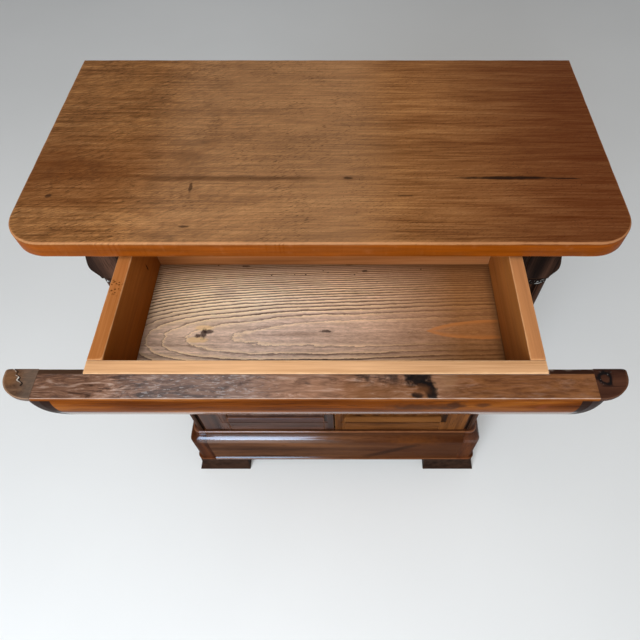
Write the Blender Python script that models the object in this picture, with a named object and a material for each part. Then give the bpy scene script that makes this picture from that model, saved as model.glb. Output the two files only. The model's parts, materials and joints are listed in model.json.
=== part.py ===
"""A small sideboard: a drawer in the frieze, two framed doors below, on a moulded plinth and feet.

Metres, +Z up, front towards -Y. The drawer stands open at rest.
"""

import math

import bmesh
import bpy
from mathutils import Vector

# Clearances
GAP = 0.0003
DRAWER_SIDE_CLEAR = 0.0015
DRAWER_RUN_CLEAR = 0.0005
DRAWER_TOP_CLEAR = 0.008
DOOR_EDGE_CLEAR = 0.0018
MEETING_CLEAR = 0.003
HINGE_GAP = 0.0024
PIN_CLEAR = 0.0003
ROD_CLEAR = 0.0004
BOLT_CLEAR = 0.0004

# Overall sizes
HEIGHT = 0.990
TOP_WIDTH = 0.800
TOP_DEPTH = 0.400
TOP_THICK = 0.026
TOP_CORNER_RADIUS = 0.051
TOP_EDGE_ROUND = 0.0035
TOP_FRONT_OVERHANG = 0.060
TOP_BACK_OVERHANG = 0.008
TOP_SIDE_OVERHANG = 0.050
FOOT_HEIGHT = 0.070
PLINTH_HEIGHT = 0.155
FRIEZE_HEIGHT = 0.122
DECK_THICK = 0.016
ARRIS = 0.0008

# Carcass pieces
CORNER_RADIUS = 0.026
FRONT_POST_WIDTH = 0.0276
FRONT_POST_DEPTH = 0.050
REAR_POST_WIDTH = 0.038
REAR_POST_DEPTH = 0.040
SIDE_PANEL_THICK = 0.016
SIDE_PANEL_SET = 0.006
BACK_PANEL_THICK = 0.010
BOTTOM_THICK = 0.016
SHELF_THICK = 0.016
SHELF_RISE = 0.285
SHELF_SET = 0.085
CLEAT_WIDTH = 0.036
CLEAT_HEIGHT = 0.018

# Side friezes, measured out from the carcass side
FRIEZE_THICK = 0.050
FRIEZE_BASE_SET = 0.009
FRIEZE_BELLY_RISE = 0.025
FRIEZE_HOLLOW_SET = 0.007
FRIEZE_HOLLOW_RISE = 0.066
FRIEZE_LIP = 0.002
FRIEZE_LIP_HEIGHT = 0.010
GUIDE_THICK = 0.036
GUIDE_HEIGHT = 0.100
BACK_RAIL_THICK = 0.018

# Plinth profile, measured out from the carcass faces
PLINTH_WALL = 0.014
PLINTH_CORNER_RADIUS = 0.017
PLINTH_CORNER_SPARE = 0.001
PLINTH_LIP = 0.022
PLINTH_LIP_HEIGHT = 0.009
PLINTH_LIP_SLOPE = 0.004
TORUS_RADIUS = 0.022
TORUS_OUT = 0.0175
PLINTH_FILLET = 0.004
PLINTH_FILLET_HEIGHT = 0.018
PLINTH_BACK_THICK = 0.018

# Feet
FOOT_WIDTH = 0.140
FOOT_DEPTH = 0.100
FOOT_OUT = 0.018
FOOT_FRONT_OUT = 0.017
FOOT_SPLAY = 0.014
FOOT_FRONT_SPLAY = 0.008

# Drawer
DRAWER_OPEN = 0.223
FACING_THICK = 0.031
FACING_RETURN = 0.006
RETURN_OVERLAP = 0.001
FACING_HEIGHT = 0.108
FACING_FILLET = 0.006
FACING_COVE_SET = 0.0065
FACING_COVE_HEIGHT = 0.012
FACING_FOOT_THICK = 0.002
BELLY_TOP_PULL = (0.002, 0.040)
BELLY_FOOT_PULL = (0.016, 0.078)
END_BLOCK_LENGTH = 0.038
END_ROUND_LENGTH = 0.036
END_ROUND_SHARE = 0.95
END_SET = 0.016
END_ROUND_SHIFT = 0.004
INNER_FRONT_THICK = 0.0175
DRAWER_SIDE_THICK = 0.018
DRAWER_BACK_THICK = 0.014
DRAWER_INSIDE_LENGTH = 0.210
DRAWER_BOTTOM_THICK = 0.009
DRAWER_BOTTOM_RISE = 0.0195

# Doors
DOOR_THICK = 0.022
DOOR_SET = 0.002
OUTER_STILE_WIDTH = 0.063
MEETING_STILE_WIDTH = 0.024
TOP_RAIL_HEIGHT = 0.060
BOTTOM_RAIL_HEIGHT = 0.060
PANEL_SET = 0.009
DOOR_PANEL_THICK = 0.009

# Hinges
BARREL_RADIUS = 0.0045
BARREL_LENGTH = 0.030
BARREL_OUT = 0.005
HINGE_LEAF_THICK = 0.0014
HINGE_LEAF_DEPTH = 0.024
HINGE_PIN_RADIUS = 0.0022
HINGE_PIN_LENGTH = 0.024
HINGE_PIN_ROOT = 0.010
HINGE_END_SET = 0.155

# Lock, key and the bolt of the left door
LOCK_RISE = 0.345
LOCK_WIDTH = 0.040
LOCK_HEIGHT = 0.060
LOCK_THICK = 0.012
LOCK_EDGE_SET = 0.006
LOCK_BOLT_LENGTH = 0.026
LOCK_BOLT_HEIGHT = 0.014
LOCK_BOLT_THICK = 0.005
LOCK_BOLT_RISE = 0.012
LOCK_WALL = 0.003
KEY_DROP = 0.014
KEY_SET = 0.0115
KEY_RADIUS = 0.0026
KEY_WAY_CLEAR = 0.0006
KEY_REACH = 0.006
KEY_WAY_DEPTH = 0.008
KEY_STEM_OUT = 0.016
KEY_BOW_RADIUS = 0.009
KEY_BOW_WIRE = 0.002
PLATE_THICK = 0.0014
PLATE_WIDTH = 0.015
PLATE_HEIGHT = 0.030
ROD_RADIUS = 0.0035
ROD_LENGTH = 0.110
ROD_BACK = 0.0062
ROD_HEAD_SET = 0.002
ROD_KNOB_RADIUS = 0.005
ROD_KNOB_LENGTH = 0.014
ROD_HOLE_CLEAR = 0.0011
BRACKET_WIDTH = 0.020
BRACKET_HEIGHT = 0.045
BRACKET_THICK = 0.012
BRACKET_DROP = 0.035

# Smoothness of round shapes
ARC_STEPS = 10
ROUND_STEPS = 20
WIRE_STEPS = 8
BELLY_STEPS = 11
COVE_STEPS = 4
SMOOTH_ANGLE = math.radians(40)

# Levels and planes that several pieces share
SIDE = TOP_WIDTH / 2 - TOP_SIDE_OVERHANG
PLINTH_TOP = FOOT_HEIGHT + PLINTH_HEIGHT
TOP_UNDER = HEIGHT - TOP_THICK
DECK_TOP = TOP_UNDER - FRIEZE_HEIGHT
DECK_UNDER = DECK_TOP - DECK_THICK
FRONT = (TOP_FRONT_OVERHANG + DRAWER_OPEN + FACING_THICK - TOP_DEPTH) / 2
TOP_FRONT = FRONT - TOP_FRONT_OVERHANG
TOP_BACK = TOP_FRONT + TOP_DEPTH
BACK = TOP_BACK - TOP_BACK_OVERHANG
POST_INNER = SIDE - FRONT_POST_WIDTH
FRIEZE_INNER = SIDE - FRIEZE_THICK
GUIDE_INNER = FRIEZE_INNER - GAP - GUIDE_THICK
DRAWER_HALF = GUIDE_INNER - DRAWER_SIDE_CLEAR
DRAWER_TOP = TOP_UNDER - DRAWER_TOP_CLEAR
DRAWER_UNDER = DECK_TOP + DRAWER_RUN_CLEAR
FACING_BACK = FRONT - DRAWER_OPEN
FACING_FRONT = FACING_BACK - FACING_THICK
DOOR_OUTER = POST_INNER - HINGE_GAP
DOOR_INNER = MEETING_CLEAR / 2
DOOR_LOW = PLINTH_TOP + DOOR_EDGE_CLEAR
DOOR_HIGH = DECK_UNDER - DOOR_EDGE_CLEAR
DOOR_FRONT = FRONT + DOOR_SET
DOOR_BACK = DOOR_FRONT + DOOR_THICK
HINGE_X = POST_INNER - HINGE_GAP / 2
HINGE_Y = FRONT - BARREL_OUT
LOCK_Z = PLINTH_TOP + LOCK_RISE
KEY_Z = LOCK_Z - KEY_DROP
KEY_X = DOOR_INNER + KEY_SET
ROD_X = -(DOOR_INNER + MEETING_STILE_WIDTH / 2)
ROD_Y = DOOR_BACK + ROD_BACK
ROD_HIGH = DOOR_HIGH - ROD_HEAD_SET

# Colour, roughness and metallic value of each finish
WALNUT = ((0.20, 0.095, 0.045), 0.45, 0.0)
WALNUT_POLISHED = ((0.16, 0.06, 0.025), 0.22, 0.0)
WALNUT_ORANGE = ((0.27, 0.11, 0.035), 0.30, 0.0)
WALNUT_BARE = ((0.19, 0.11, 0.065), 0.65, 0.0)
HONEY_WOOD = ((0.48, 0.25, 0.09), 0.60, 0.0)
STRAW_WOOD = ((0.36, 0.22, 0.10), 0.70, 0.0)
INNER_WOOD = ((0.30, 0.18, 0.09), 0.75, 0.0)
DARK_WOOD = ((0.05, 0.026, 0.014), 0.50, 0.0)
IRON = ((0.10, 0.09, 0.085), 0.50, 1.0)
BRASS = ((0.50, 0.34, 0.12), 0.35, 1.0)


def clear_scene():
    for obj in list(bpy.data.objects):
        bpy.data.objects.remove(obj, do_unlink=True)


def finish_material(name, finish):
    colour, roughness, metallic = finish
    material = bpy.data.materials.new(name + "_finish")
    material.use_nodes = True
    shader = material.node_tree.nodes["Principled BSDF"]
    shader.inputs["Base Color"].default_value = (*colour, 1.0)
    shader.inputs["Roughness"].default_value = roughness
    shader.inputs["Metallic"].default_value = metallic
    return material


def axis_empty(name, location):
    """An empty on a moving body's axis, which carries that body's pieces."""
    empty = bpy.data.objects.new(name, None)
    empty.location = location
    bpy.context.scene.collection.objects.link(empty)
    return empty


def add_object(name, bm, centre, finish, parent=None):
    """The mesh as an object at its centre. The mesh's points are around that centre."""
    bmesh.ops.recalc_face_normals(bm, faces=bm.faces)
    mesh = bpy.data.meshes.new(name)
    bm.to_mesh(mesh)
    bm.free()
    mesh.materials.append(finish_material(name, finish))
    mesh.polygons.foreach_set("use_smooth", [True] * len(mesh.polygons))
    mesh.set_sharp_from_angle(angle=SMOOTH_ANGLE)
    obj = bpy.data.objects.new(name, mesh)
    bpy.context.scene.collection.objects.link(obj)
    obj.location = centre
    if parent:
        obj.parent = parent
        obj.location = Vector(centre) - parent.location
    return obj


def soften(obj, width, segments=1):
    bevel = obj.modifiers.new("arris", "BEVEL")
    bevel.width = width
    bevel.segments = segments
    bevel.limit_method = "ANGLE"
    bevel.angle_limit = SMOOTH_ANGLE


def box(name, low, high, finish, parent=None, arris=ARRIS):
    low = Vector(low)
    high = Vector(high)
    bm = bmesh.new()
    bmesh.ops.create_cube(bm, size=1.0)
    bmesh.ops.scale(bm, vec=high - low, verts=bm.verts)
    obj = add_object(name, bm, (low + high) / 2, finish, parent)
    if arris:
        soften(obj, arris)
    return obj


def sided_box(name, side, near, far, finish, parent=None, arris=ARRIS):
    """A box whose x values are distances from the middle, on the side given as 1 or -1."""
    low_x, high_x = sorted((side * near[0], side * far[0]))
    return box(name, (low_x, *near[1:]), (high_x, *far[1:]), finish, parent, arris)


def loft(name, rings, finish, parent=None, closed=False):
    """A skin over rings of points, with a face over each end, or joined end to end."""
    points = [Vector(point) for ring in rings for point in ring]
    low = Vector([min(point[i] for point in points) for i in range(3)])
    high = Vector([max(point[i] for point in points) for i in range(3)])
    centre = (low + high) / 2
    bm = bmesh.new()
    loops = [[bm.verts.new(Vector(point) - centre) for point in ring] for ring in rings]
    following = loops[1:] + loops[:1] if closed else loops[1:]
    for one, two in zip(loops, following):
        for i in range(len(one)):
            j = (i + 1) % len(one)
            bm.faces.new((one[i], one[j], two[j], two[i]))
    if not closed:
        bm.faces.new(loops[0])
        bm.faces.new(loops[-1])
    return add_object(name, bm, centre, finish, parent)


def prism(name, outline, axis, start, end, finish, parent=None):
    """The outline, given in the two other axes in their order, drawn out along the axis."""

    def point(a, b, along):
        if axis == "X":
            return (along, a, b)
        if axis == "Y":
            return (a, along, b)
        return (a, b, along)

    rings = [[point(a, b, along) for a, b in outline] for along in (start, end)]
    return loft(name, rings, finish, parent)


def mirrored(outline, side):
    """The outline on the side given as 1 or -1."""
    if side > 0:
        return outline
    return [(-a, b) for a, b in reversed(outline)]


def arc(centre, radii, start_deg, end_deg, steps):
    points = []
    for i in range(steps + 1):
        angle = math.radians(start_deg + (end_deg - start_deg) * i / steps)
        x = centre[0] + radii[0] * math.cos(angle)
        y = centre[1] + radii[1] * math.sin(angle)
        points.append((x, y))
    return points


def circle(centre, radius, steps=ROUND_STEPS):
    return arc(centre, (radius, radius), 0, 360, steps)[:-1]


def board_outline(half, front, back, radius):
    """A plan with two round front corners."""
    right = arc((half - radius, front + radius), (radius, radius), 270, 360, ARC_STEPS)
    left = [(-x, y) for x, y in reversed(right)]
    return left + right + [(half, back), (-half, back)]


def cutter(obj):
    obj.hide_render = True
    obj.display_type = "WIRE"
    return obj


def boolean(obj, other, operation):
    """Cuts or joins before any softening of the edges."""
    modifier = obj.modifiers.new(operation.lower(), "BOOLEAN")
    modifier.operation = operation
    modifier.solver = "EXACT"
    modifier.object = cutter(other)
    return obj


def blend(start, end, share):
    return start + (end - start) * share


def ease(share):
    return (1 - math.cos(math.pi * share)) / 2


def build_top():
    outline = board_outline(TOP_WIDTH / 2, TOP_FRONT, TOP_BACK, TOP_CORNER_RADIUS)
    top = prism("top_board", outline, "Z", TOP_UNDER, HEIGHT, WALNUT)
    soften(top, TOP_EDGE_ROUND, segments=2)


def frieze_outline():
    """Section of the right side frieze: a belly at its foot, a hollow above it and a lip under the top."""
    low = DECK_TOP + GAP
    high = TOP_UNDER - GAP
    stops = [
        (-FRIEZE_BASE_SET, low),
        (0.0, low + FRIEZE_BELLY_RISE),
        (-FRIEZE_HOLLOW_SET, low + FRIEZE_HOLLOW_RISE),
        (FRIEZE_LIP, high - FRIEZE_LIP_HEIGHT),
    ]
    points = [(FRIEZE_INNER, low)]
    for (out_a, z_a), (out_b, z_b) in zip(stops, stops[1:]):
        for i in range(ARC_STEPS):
            share = i / ARC_STEPS
            points.append((SIDE + blend(out_a, out_b, ease(share)), blend(z_a, z_b, share)))
    points.append((SIDE + FRIEZE_LIP, high - FRIEZE_LIP_HEIGHT))
    points.append((SIDE + FRIEZE_LIP, high))
    points.append((FRIEZE_INNER, high))
    return points


def build_frieze():
    low = DECK_TOP + GAP
    high = TOP_UNDER - GAP
    for side, word in ((-1, "left"), (1, "right")):
        outline = mirrored(frieze_outline(), side)
        prism("side_frieze_" + word, outline, "Y", FRONT, BACK, WALNUT_POLISHED)
        guide_back = BACK - BACK_RAIL_THICK - GAP
        sided_box(
            "drawer_guide_" + word,
            side,
            (GUIDE_INNER, FRONT, low),
            (FRIEZE_INNER - GAP, guide_back, low + GUIDE_HEIGHT),
            INNER_WOOD,
        )
    rail_half = FRIEZE_INNER - GAP
    box("back_frieze_rail", (-rail_half, BACK - BACK_RAIL_THICK, low), (rail_half, BACK, high), INNER_WOOD)


def build_deck():
    outline = board_outline(SIDE, FRONT, BACK, CORNER_RADIUS)
    deck = prism("drawer_deck", outline, "Z", DECK_UNDER, DECK_TOP, DARK_WOOD)
    hole = circle((ROD_X, ROD_Y), ROD_RADIUS + ROD_HOLE_CLEAR)
    hole_cutter = prism("rod_hole_cutter", hole, "Z", DECK_UNDER - DECK_THICK, DECK_TOP + DECK_THICK, IRON)
    boolean(deck, hole_cutter, "DIFFERENCE")


def build_posts_and_panels():
    low = PLINTH_TOP + GAP
    high = DECK_UNDER - GAP
    for side, word in ((-1, "left"), (1, "right")):
        outline = [(POST_INNER, FRONT)]
        centre = (SIDE - CORNER_RADIUS, FRONT + CORNER_RADIUS)
        outline += arc(centre, (CORNER_RADIUS, CORNER_RADIUS), 270, 360, ARC_STEPS)
        outline += [(SIDE, FRONT + FRONT_POST_DEPTH), (POST_INNER, FRONT + FRONT_POST_DEPTH)]
        prism("front_post_" + word, mirrored(outline, side), "Z", low, high, WALNUT_POLISHED)
        sided_box(
            "rear_post_" + word,
            side,
            (SIDE - REAR_POST_WIDTH, BACK - REAR_POST_DEPTH, low),
            (SIDE, BACK, high),
            WALNUT,
        )
        panel_outer = SIDE - SIDE_PANEL_SET
        sided_box(
            "side_panel_" + word,
            side,
            (panel_outer - SIDE_PANEL_THICK, FRONT + FRONT_POST_DEPTH + GAP, low),
            (panel_outer, BACK - REAR_POST_DEPTH - GAP, high),
            WALNUT_POLISHED,
        )
    half = SIDE - REAR_POST_WIDTH - GAP
    box("back_panel", (-half, BACK - BACK_PANEL_THICK, low), (half, BACK, high), INNER_WOOD)


def build_inside():
    inset = PLINTH_WALL + GAP
    bottom_back = BACK - PLINTH_BACK_THICK - GAP
    outline = board_outline(SIDE - inset, FRONT + inset, bottom_back, CORNER_RADIUS - inset)
    prism("cabinet_bottom", outline, "Z", PLINTH_TOP - BOTTOM_THICK, PLINTH_TOP, INNER_WOOD)
    shelf_half = SIDE - REAR_POST_WIDTH - GAP
    shelf_low = PLINTH_TOP + SHELF_RISE
    box(
        "shelf",
        (-shelf_half, FRONT + SHELF_SET, shelf_low),
        (shelf_half, BACK - BACK_PANEL_THICK - GAP, shelf_low + SHELF_THICK),
        INNER_WOOD,
    )
    cleat_outer = SIDE - SIDE_PANEL_SET - SIDE_PANEL_THICK - GAP
    for side, word in ((-1, "left"), (1, "right")):
        sided_box(
            "shelf_cleat_" + word,
            side,
            (cleat_outer - CLEAT_WIDTH, FRONT + FRONT_POST_DEPTH + GAP, shelf_low - GAP - CLEAT_HEIGHT),
            (cleat_outer, BACK - REAR_POST_DEPTH - GAP, shelf_low - GAP),
            INNER_WOOD,
        )


def plinth_profile():
    """Section of the plinth, as (distance out, height), anticlockwise: lip, face, round shoulder, fillet."""
    low = FOOT_HEIGHT + GAP
    torus_out = TORUS_OUT - TORUS_RADIUS
    torus_mid = PLINTH_TOP - PLINTH_FILLET_HEIGHT - TORUS_RADIUS
    end = math.degrees(math.acos((PLINTH_FILLET - torus_out) / TORUS_RADIUS))
    points = [(-PLINTH_WALL, low), (PLINTH_LIP, low), (PLINTH_LIP, low + PLINTH_LIP_HEIGHT)]
    points.append((TORUS_OUT, low + PLINTH_LIP_HEIGHT + PLINTH_LIP_SLOPE))
    points += arc((torus_out, torus_mid), (TORUS_RADIUS, TORUS_RADIUS), 0, end, ARC_STEPS)
    points += [(PLINTH_FILLET, PLINTH_TOP), (-PLINTH_WALL, PLINTH_TOP)]
    return points


def build_plinth():
    profile = plinth_profile()
    straight = SIDE - CORNER_RADIUS - GAP
    front_outline = [(FRONT - out, z) for out, z in profile]
    prism("plinth_front", front_outline, "X", -straight, straight, WALNUT_POLISHED)
    turn_y = FRONT + CORNER_RADIUS
    for side, word in ((-1, "left"), (1, "right")):
        side_outline = mirrored([(SIDE + out, z) for out, z in profile], side)
        prism("plinth_side_" + word, side_outline, "Y", turn_y + GAP, BACK, WALNUT_POLISHED)
        lines = []
        for out, z in profile:
            radius = min(PLINTH_CORNER_RADIUS, CORNER_RADIUS + out - PLINTH_CORNER_SPARE)
            line = [(SIDE - CORNER_RADIUS, FRONT - out)]
            line += arc((SIDE + out - radius, FRONT - out + radius), (radius, radius), 270, 360, ARC_STEPS)
            line += [(SIDE + out, turn_y)]
            lines.append([(side * x, y, z) for x, y in line])
        rings = [list(ring) for ring in zip(*lines)]
        loft("plinth_corner_" + word, rings, WALNUT_POLISHED)
    half = SIDE - PLINTH_WALL - GAP
    box(
        "plinth_back",
        (-half, BACK - PLINTH_BACK_THICK, FOOT_HEIGHT + GAP),
        (half, BACK, PLINTH_TOP - GAP),
        INNER_WOOD,
    )


def build_feet():
    """Blocks that splay outwards towards the floor. The front ones splay forwards too."""
    inner = SIDE + FOOT_OUT + FOOT_SPLAY - FOOT_WIDTH
    for end, front, splay in (
        ("front", FRONT - FOOT_FRONT_OUT, FOOT_FRONT_SPLAY),
        ("rear", BACK - FOOT_DEPTH, 0.0),
    ):
        for side, word in ((-1, "left"), (1, "right")):
            rings = []
            for i in range(ARC_STEPS + 1):
                share = i / ARC_STEPS
                reach = (1 - share) ** 2
                outer = SIDE + FOOT_OUT + FOOT_SPLAY * reach
                near = front - splay * reach
                far = front + FOOT_DEPTH
                xs = (inner, outer, outer, inner)
                ys = (near, near, far, far)
                rings.append([(side * x, y, FOOT_HEIGHT * share) for x, y in zip(xs, ys)])
            loft("foot_" + end + "_" + word, rings, DARK_WOOD)


def facing_profile():
    """The drawer's shaped front, from its top down, as (set back, drop)."""
    points = [(0.0, 0.0), (0.0, FACING_FILLET)]
    cove_end = FACING_FILLET + FACING_COVE_HEIGHT
    for i in range(1, COVE_STEPS + 1):
        angle = math.pi / 2 * i / COVE_STEPS
        drop = cove_end - FACING_COVE_HEIGHT * math.cos(angle)
        points.append((FACING_COVE_SET * math.sin(angle), drop))
    handles = [
        (FACING_COVE_SET, cove_end),
        BELLY_TOP_PULL,
        BELLY_FOOT_PULL,
        (FACING_THICK - FACING_FOOT_THICK, FACING_HEIGHT),
    ]
    for i in range(1, BELLY_STEPS + 1):
        share = i / BELLY_STEPS
        rest = 1 - share
        weights = (rest**3, 3 * rest**2 * share, 3 * rest * share**2, share**3)
        point = [sum(w * handle[k] for w, handle in zip(weights, handles)) for k in range(2)]
        points.append(tuple(point))
    return points


def build_drawer():
    body = axis_empty("drawer_slide_axis", (0, FACING_BACK, DRAWER_UNDER))
    profile = facing_profile()
    joint = SIDE - END_BLOCK_LENGTH
    outline = [(FACING_BACK - GAP, DRAWER_TOP)]
    outline += [(FACING_FRONT + back, DRAWER_TOP - drop) for back, drop in profile]
    outline += [(FACING_BACK - GAP, DRAWER_TOP - FACING_HEIGHT)]
    facing = prism("drawer_facing", outline, "X", -joint, joint, WALNUT_ORANGE, body)
    rear = FACING_BACK + FACING_RETURN
    for side, word in ((-1, "left"), (1, "right")):
        end_return = sided_box(
            "facing_return_" + word,
            side,
            (DRAWER_HALF + GAP, FACING_BACK - GAP - RETURN_OVERLAP, DRAWER_TOP - FACING_HEIGHT),
            (joint, rear, DRAWER_TOP),
            WALNUT_ORANGE,
            arris=0,
        )
        boolean(facing, end_return, "UNION")
        rings = []
        for back, drop in profile:
            share = min(1.0, back / FACING_COVE_SET)
            end = SIDE - END_SET * share
            front = FACING_FRONT + back
            depth = END_ROUND_SHARE * (FACING_BACK - GAP - front)
            centre = (SIDE - END_ROUND_LENGTH + END_ROUND_SHIFT * share, front + depth)
            plan = [(joint + GAP, rear), (joint + GAP, front)]
            plan += arc(centre, (end - centre[0], depth), 270, 360, ARC_STEPS)
            plan += [(end, rear)]
            rings.append([(side * x, y, DRAWER_TOP - drop) for x, y in plan])
        loft("drawer_end_block_" + word, rings, WALNUT_BARE, body)
    front_inside = FACING_BACK + INNER_FRONT_THICK
    back_inside = front_inside + DRAWER_INSIDE_LENGTH
    box(
        "drawer_inner_front",
        (-DRAWER_HALF, FACING_BACK, DRAWER_UNDER),
        (DRAWER_HALF, front_inside, DRAWER_TOP),
        HONEY_WOOD,
        body,
    )
    inside = DRAWER_HALF - DRAWER_SIDE_THICK
    for side, word in ((-1, "left"), (1, "right")):
        sided_box(
            "drawer_side_" + word,
            side,
            (inside, front_inside + GAP, DRAWER_UNDER),
            (DRAWER_HALF, back_inside + DRAWER_BACK_THICK, DRAWER_TOP),
            HONEY_WOOD,
            body,
        )
    box(
        "drawer_back",
        (-inside + GAP, back_inside, DRAWER_UNDER),
        (inside - GAP, back_inside + DRAWER_BACK_THICK, DRAWER_TOP),
        HONEY_WOOD,
        body,
    )
    bottom_low = DRAWER_UNDER + DRAWER_BOTTOM_RISE
    box(
        "drawer_bottom",
        (-inside + GAP, front_inside + GAP, bottom_low),
        (inside - GAP, back_inside - GAP, bottom_low + DRAWER_BOTTOM_THICK),
        STRAW_WOOD,
        body,
    )


def build_door_frame(side, word, body):
    """Stiles, rails and panel of one door. Gives back the meeting stile."""
    outer_inside = DOOR_OUTER - OUTER_STILE_WIDTH
    meeting_inside = DOOR_INNER + MEETING_STILE_WIDTH
    sided_box(
        word + "_door_outer_stile",
        side,
        (outer_inside, DOOR_FRONT, DOOR_LOW),
        (DOOR_OUTER, DOOR_BACK, DOOR_HIGH),
        WALNUT_POLISHED,
        body,
    )
    low_x, high_x = sorted((side * DOOR_INNER, side * meeting_inside))
    meeting = box(
        word + "_door_meeting_stile",
        (low_x, DOOR_FRONT, DOOR_LOW),
        (high_x, DOOR_BACK, DOOR_HIGH),
        WALNUT_POLISHED,
        body,
        arris=0,
    )
    for rail, low, high in (
        ("bottom_rail", DOOR_LOW, DOOR_LOW + BOTTOM_RAIL_HEIGHT),
        ("top_rail", DOOR_HIGH - TOP_RAIL_HEIGHT, DOOR_HIGH),
    ):
        sided_box(
            word + "_door_" + rail,
            side,
            (meeting_inside + GAP, DOOR_FRONT, low),
            (outer_inside - GAP, DOOR_BACK, high),
            WALNUT_POLISHED,
            body,
        )
    panel_front = DOOR_FRONT + PANEL_SET
    sided_box(
        word + "_door_panel",
        side,
        (meeting_inside + GAP, panel_front, DOOR_LOW + BOTTOM_RAIL_HEIGHT + GAP),
        (outer_inside - GAP, panel_front + DOOR_PANEL_THICK, DOOR_HIGH - TOP_RAIL_HEIGHT - GAP),
        WALNUT_POLISHED,
        body,
    )
    return meeting


def hinge_outline(leaf_low, leaf_high):
    """Plan of a barrel with a leaf that runs back from it, on the right-hand side."""
    low_deg = math.degrees(math.acos((leaf_low - HINGE_X) / BARREL_RADIUS))
    high_deg = math.degrees(math.acos((leaf_high - HINGE_X) / BARREL_RADIUS))
    barrel = arc((HINGE_X, HINGE_Y), (BARREL_RADIUS, BARREL_RADIUS), low_deg, high_deg + 360, ROUND_STEPS)
    leaf_end = HINGE_Y + HINGE_LEAF_DEPTH
    return barrel + [(leaf_high, leaf_end), (leaf_low, leaf_end)]


def build_hinges(side, word, body):
    post_leaf = hinge_outline(POST_INNER - GAP - HINGE_LEAF_THICK, POST_INNER - GAP)
    door_leaf = hinge_outline(DOOR_OUTER + GAP, DOOR_OUTER + GAP + HINGE_LEAF_THICK)
    axis = (side * HINGE_X, HINGE_Y)
    for level, joint in (("lower", DOOR_LOW + HINGE_END_SET), ("upper", DOOR_HIGH - HINGE_END_SET)):
        name = word + "_" + level + "_hinge_"
        fixed = prism(
            name + "post_leaf",
            mirrored(post_leaf, side),
            "Z",
            joint - BARREL_LENGTH,
            joint,
            IRON,
        )
        pin = circle(axis, HINGE_PIN_RADIUS)
        pin_part = prism(name + "pin", pin, "Z", joint - HINGE_PIN_ROOT, joint + HINGE_PIN_LENGTH, IRON)
        boolean(fixed, pin_part, "UNION")
        moving = prism(
            name + "door_leaf",
            mirrored(door_leaf, side),
            "Z",
            joint + GAP,
            joint + GAP + BARREL_LENGTH,
            IRON,
            body,
        )
        bore = circle(axis, HINGE_PIN_RADIUS + PIN_CLEAR)
        bore_end = joint + HINGE_PIN_LENGTH + PIN_CLEAR
        bore_cutter = prism(name + "bore_cutter", bore, "Z", joint - HINGE_PIN_ROOT, bore_end, IRON)
        boolean(moving, bore_cutter, "DIFFERENCE")


def build_lock(stile, body):
    case_low = (LOCK_EDGE_SET, DOOR_BACK + GAP, LOCK_Z - LOCK_HEIGHT / 2)
    case_high = (LOCK_EDGE_SET + LOCK_WIDTH, DOOR_BACK + GAP + LOCK_THICK, LOCK_Z + LOCK_HEIGHT / 2)
    case = box("lock_case", case_low, case_high, IRON, body, arris=0)
    bolt_low = Vector((LOCK_EDGE_SET, DOOR_BACK + LOCK_WALL, LOCK_Z + LOCK_BOLT_RISE - LOCK_BOLT_HEIGHT / 2))
    bolt_high = bolt_low + Vector((LOCK_BOLT_LENGTH, LOCK_BOLT_THICK, LOCK_BOLT_HEIGHT))
    room = Vector((BOLT_CLEAR, BOLT_CLEAR, BOLT_CLEAR))
    mouth = Vector((LOCK_EDGE_SET, 0, 0))
    channel = box("bolt_channel_cutter", bolt_low - room - mouth, bolt_high + room, IRON, arris=0)
    boolean(case, channel, "DIFFERENCE")
    box("lock_bolt", bolt_low, bolt_high, IRON, axis_empty("lock_bolt_axis", bolt_low))
    plate_front = DOOR_FRONT - GAP - PLATE_THICK
    plate_outline = arc((KEY_X, KEY_Z), (PLATE_WIDTH / 2, PLATE_HEIGHT / 2), 0, 360, ROUND_STEPS)[:-1]
    plate = prism("escutcheon", plate_outline, "Y", plate_front, DOOR_FRONT - GAP, BRASS, body)
    way = circle((KEY_X, KEY_Z), KEY_RADIUS + KEY_WAY_CLEAR)
    way_end = DOOR_BACK + KEY_WAY_DEPTH
    way_cutter = prism("key_way_cutter", way, "Y", plate_front - PLATE_THICK, way_end, IRON)
    for pierced in (plate, stile, case):
        boolean(pierced, way_cutter, "DIFFERENCE")
    soften(stile, ARRIS)
    turn = axis_empty("key_turn_axis", (KEY_X, plate_front, KEY_Z))
    stem_front = plate_front - KEY_STEM_OUT
    stem_end = DOOR_BACK + KEY_REACH
    stem = prism("key", circle((KEY_X, KEY_Z), KEY_RADIUS), "Y", stem_front, stem_end, IRON, turn)
    bow_y = stem_front - KEY_BOW_RADIUS + KEY_BOW_WIRE / 2
    rings = []
    for i in range(ROUND_STEPS):
        angle = 2 * math.pi * i / ROUND_STEPS
        ring = []
        for reach, lift in circle((KEY_BOW_RADIUS, 0.0), KEY_BOW_WIRE, WIRE_STEPS):
            along = bow_y + reach * math.cos(angle)
            ring.append((KEY_X + lift, along, KEY_Z + reach * math.sin(angle)))
        rings.append(ring)
    bow = loft("key_bow", rings, IRON, closed=True)
    boolean(stem, bow, "UNION")


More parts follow.
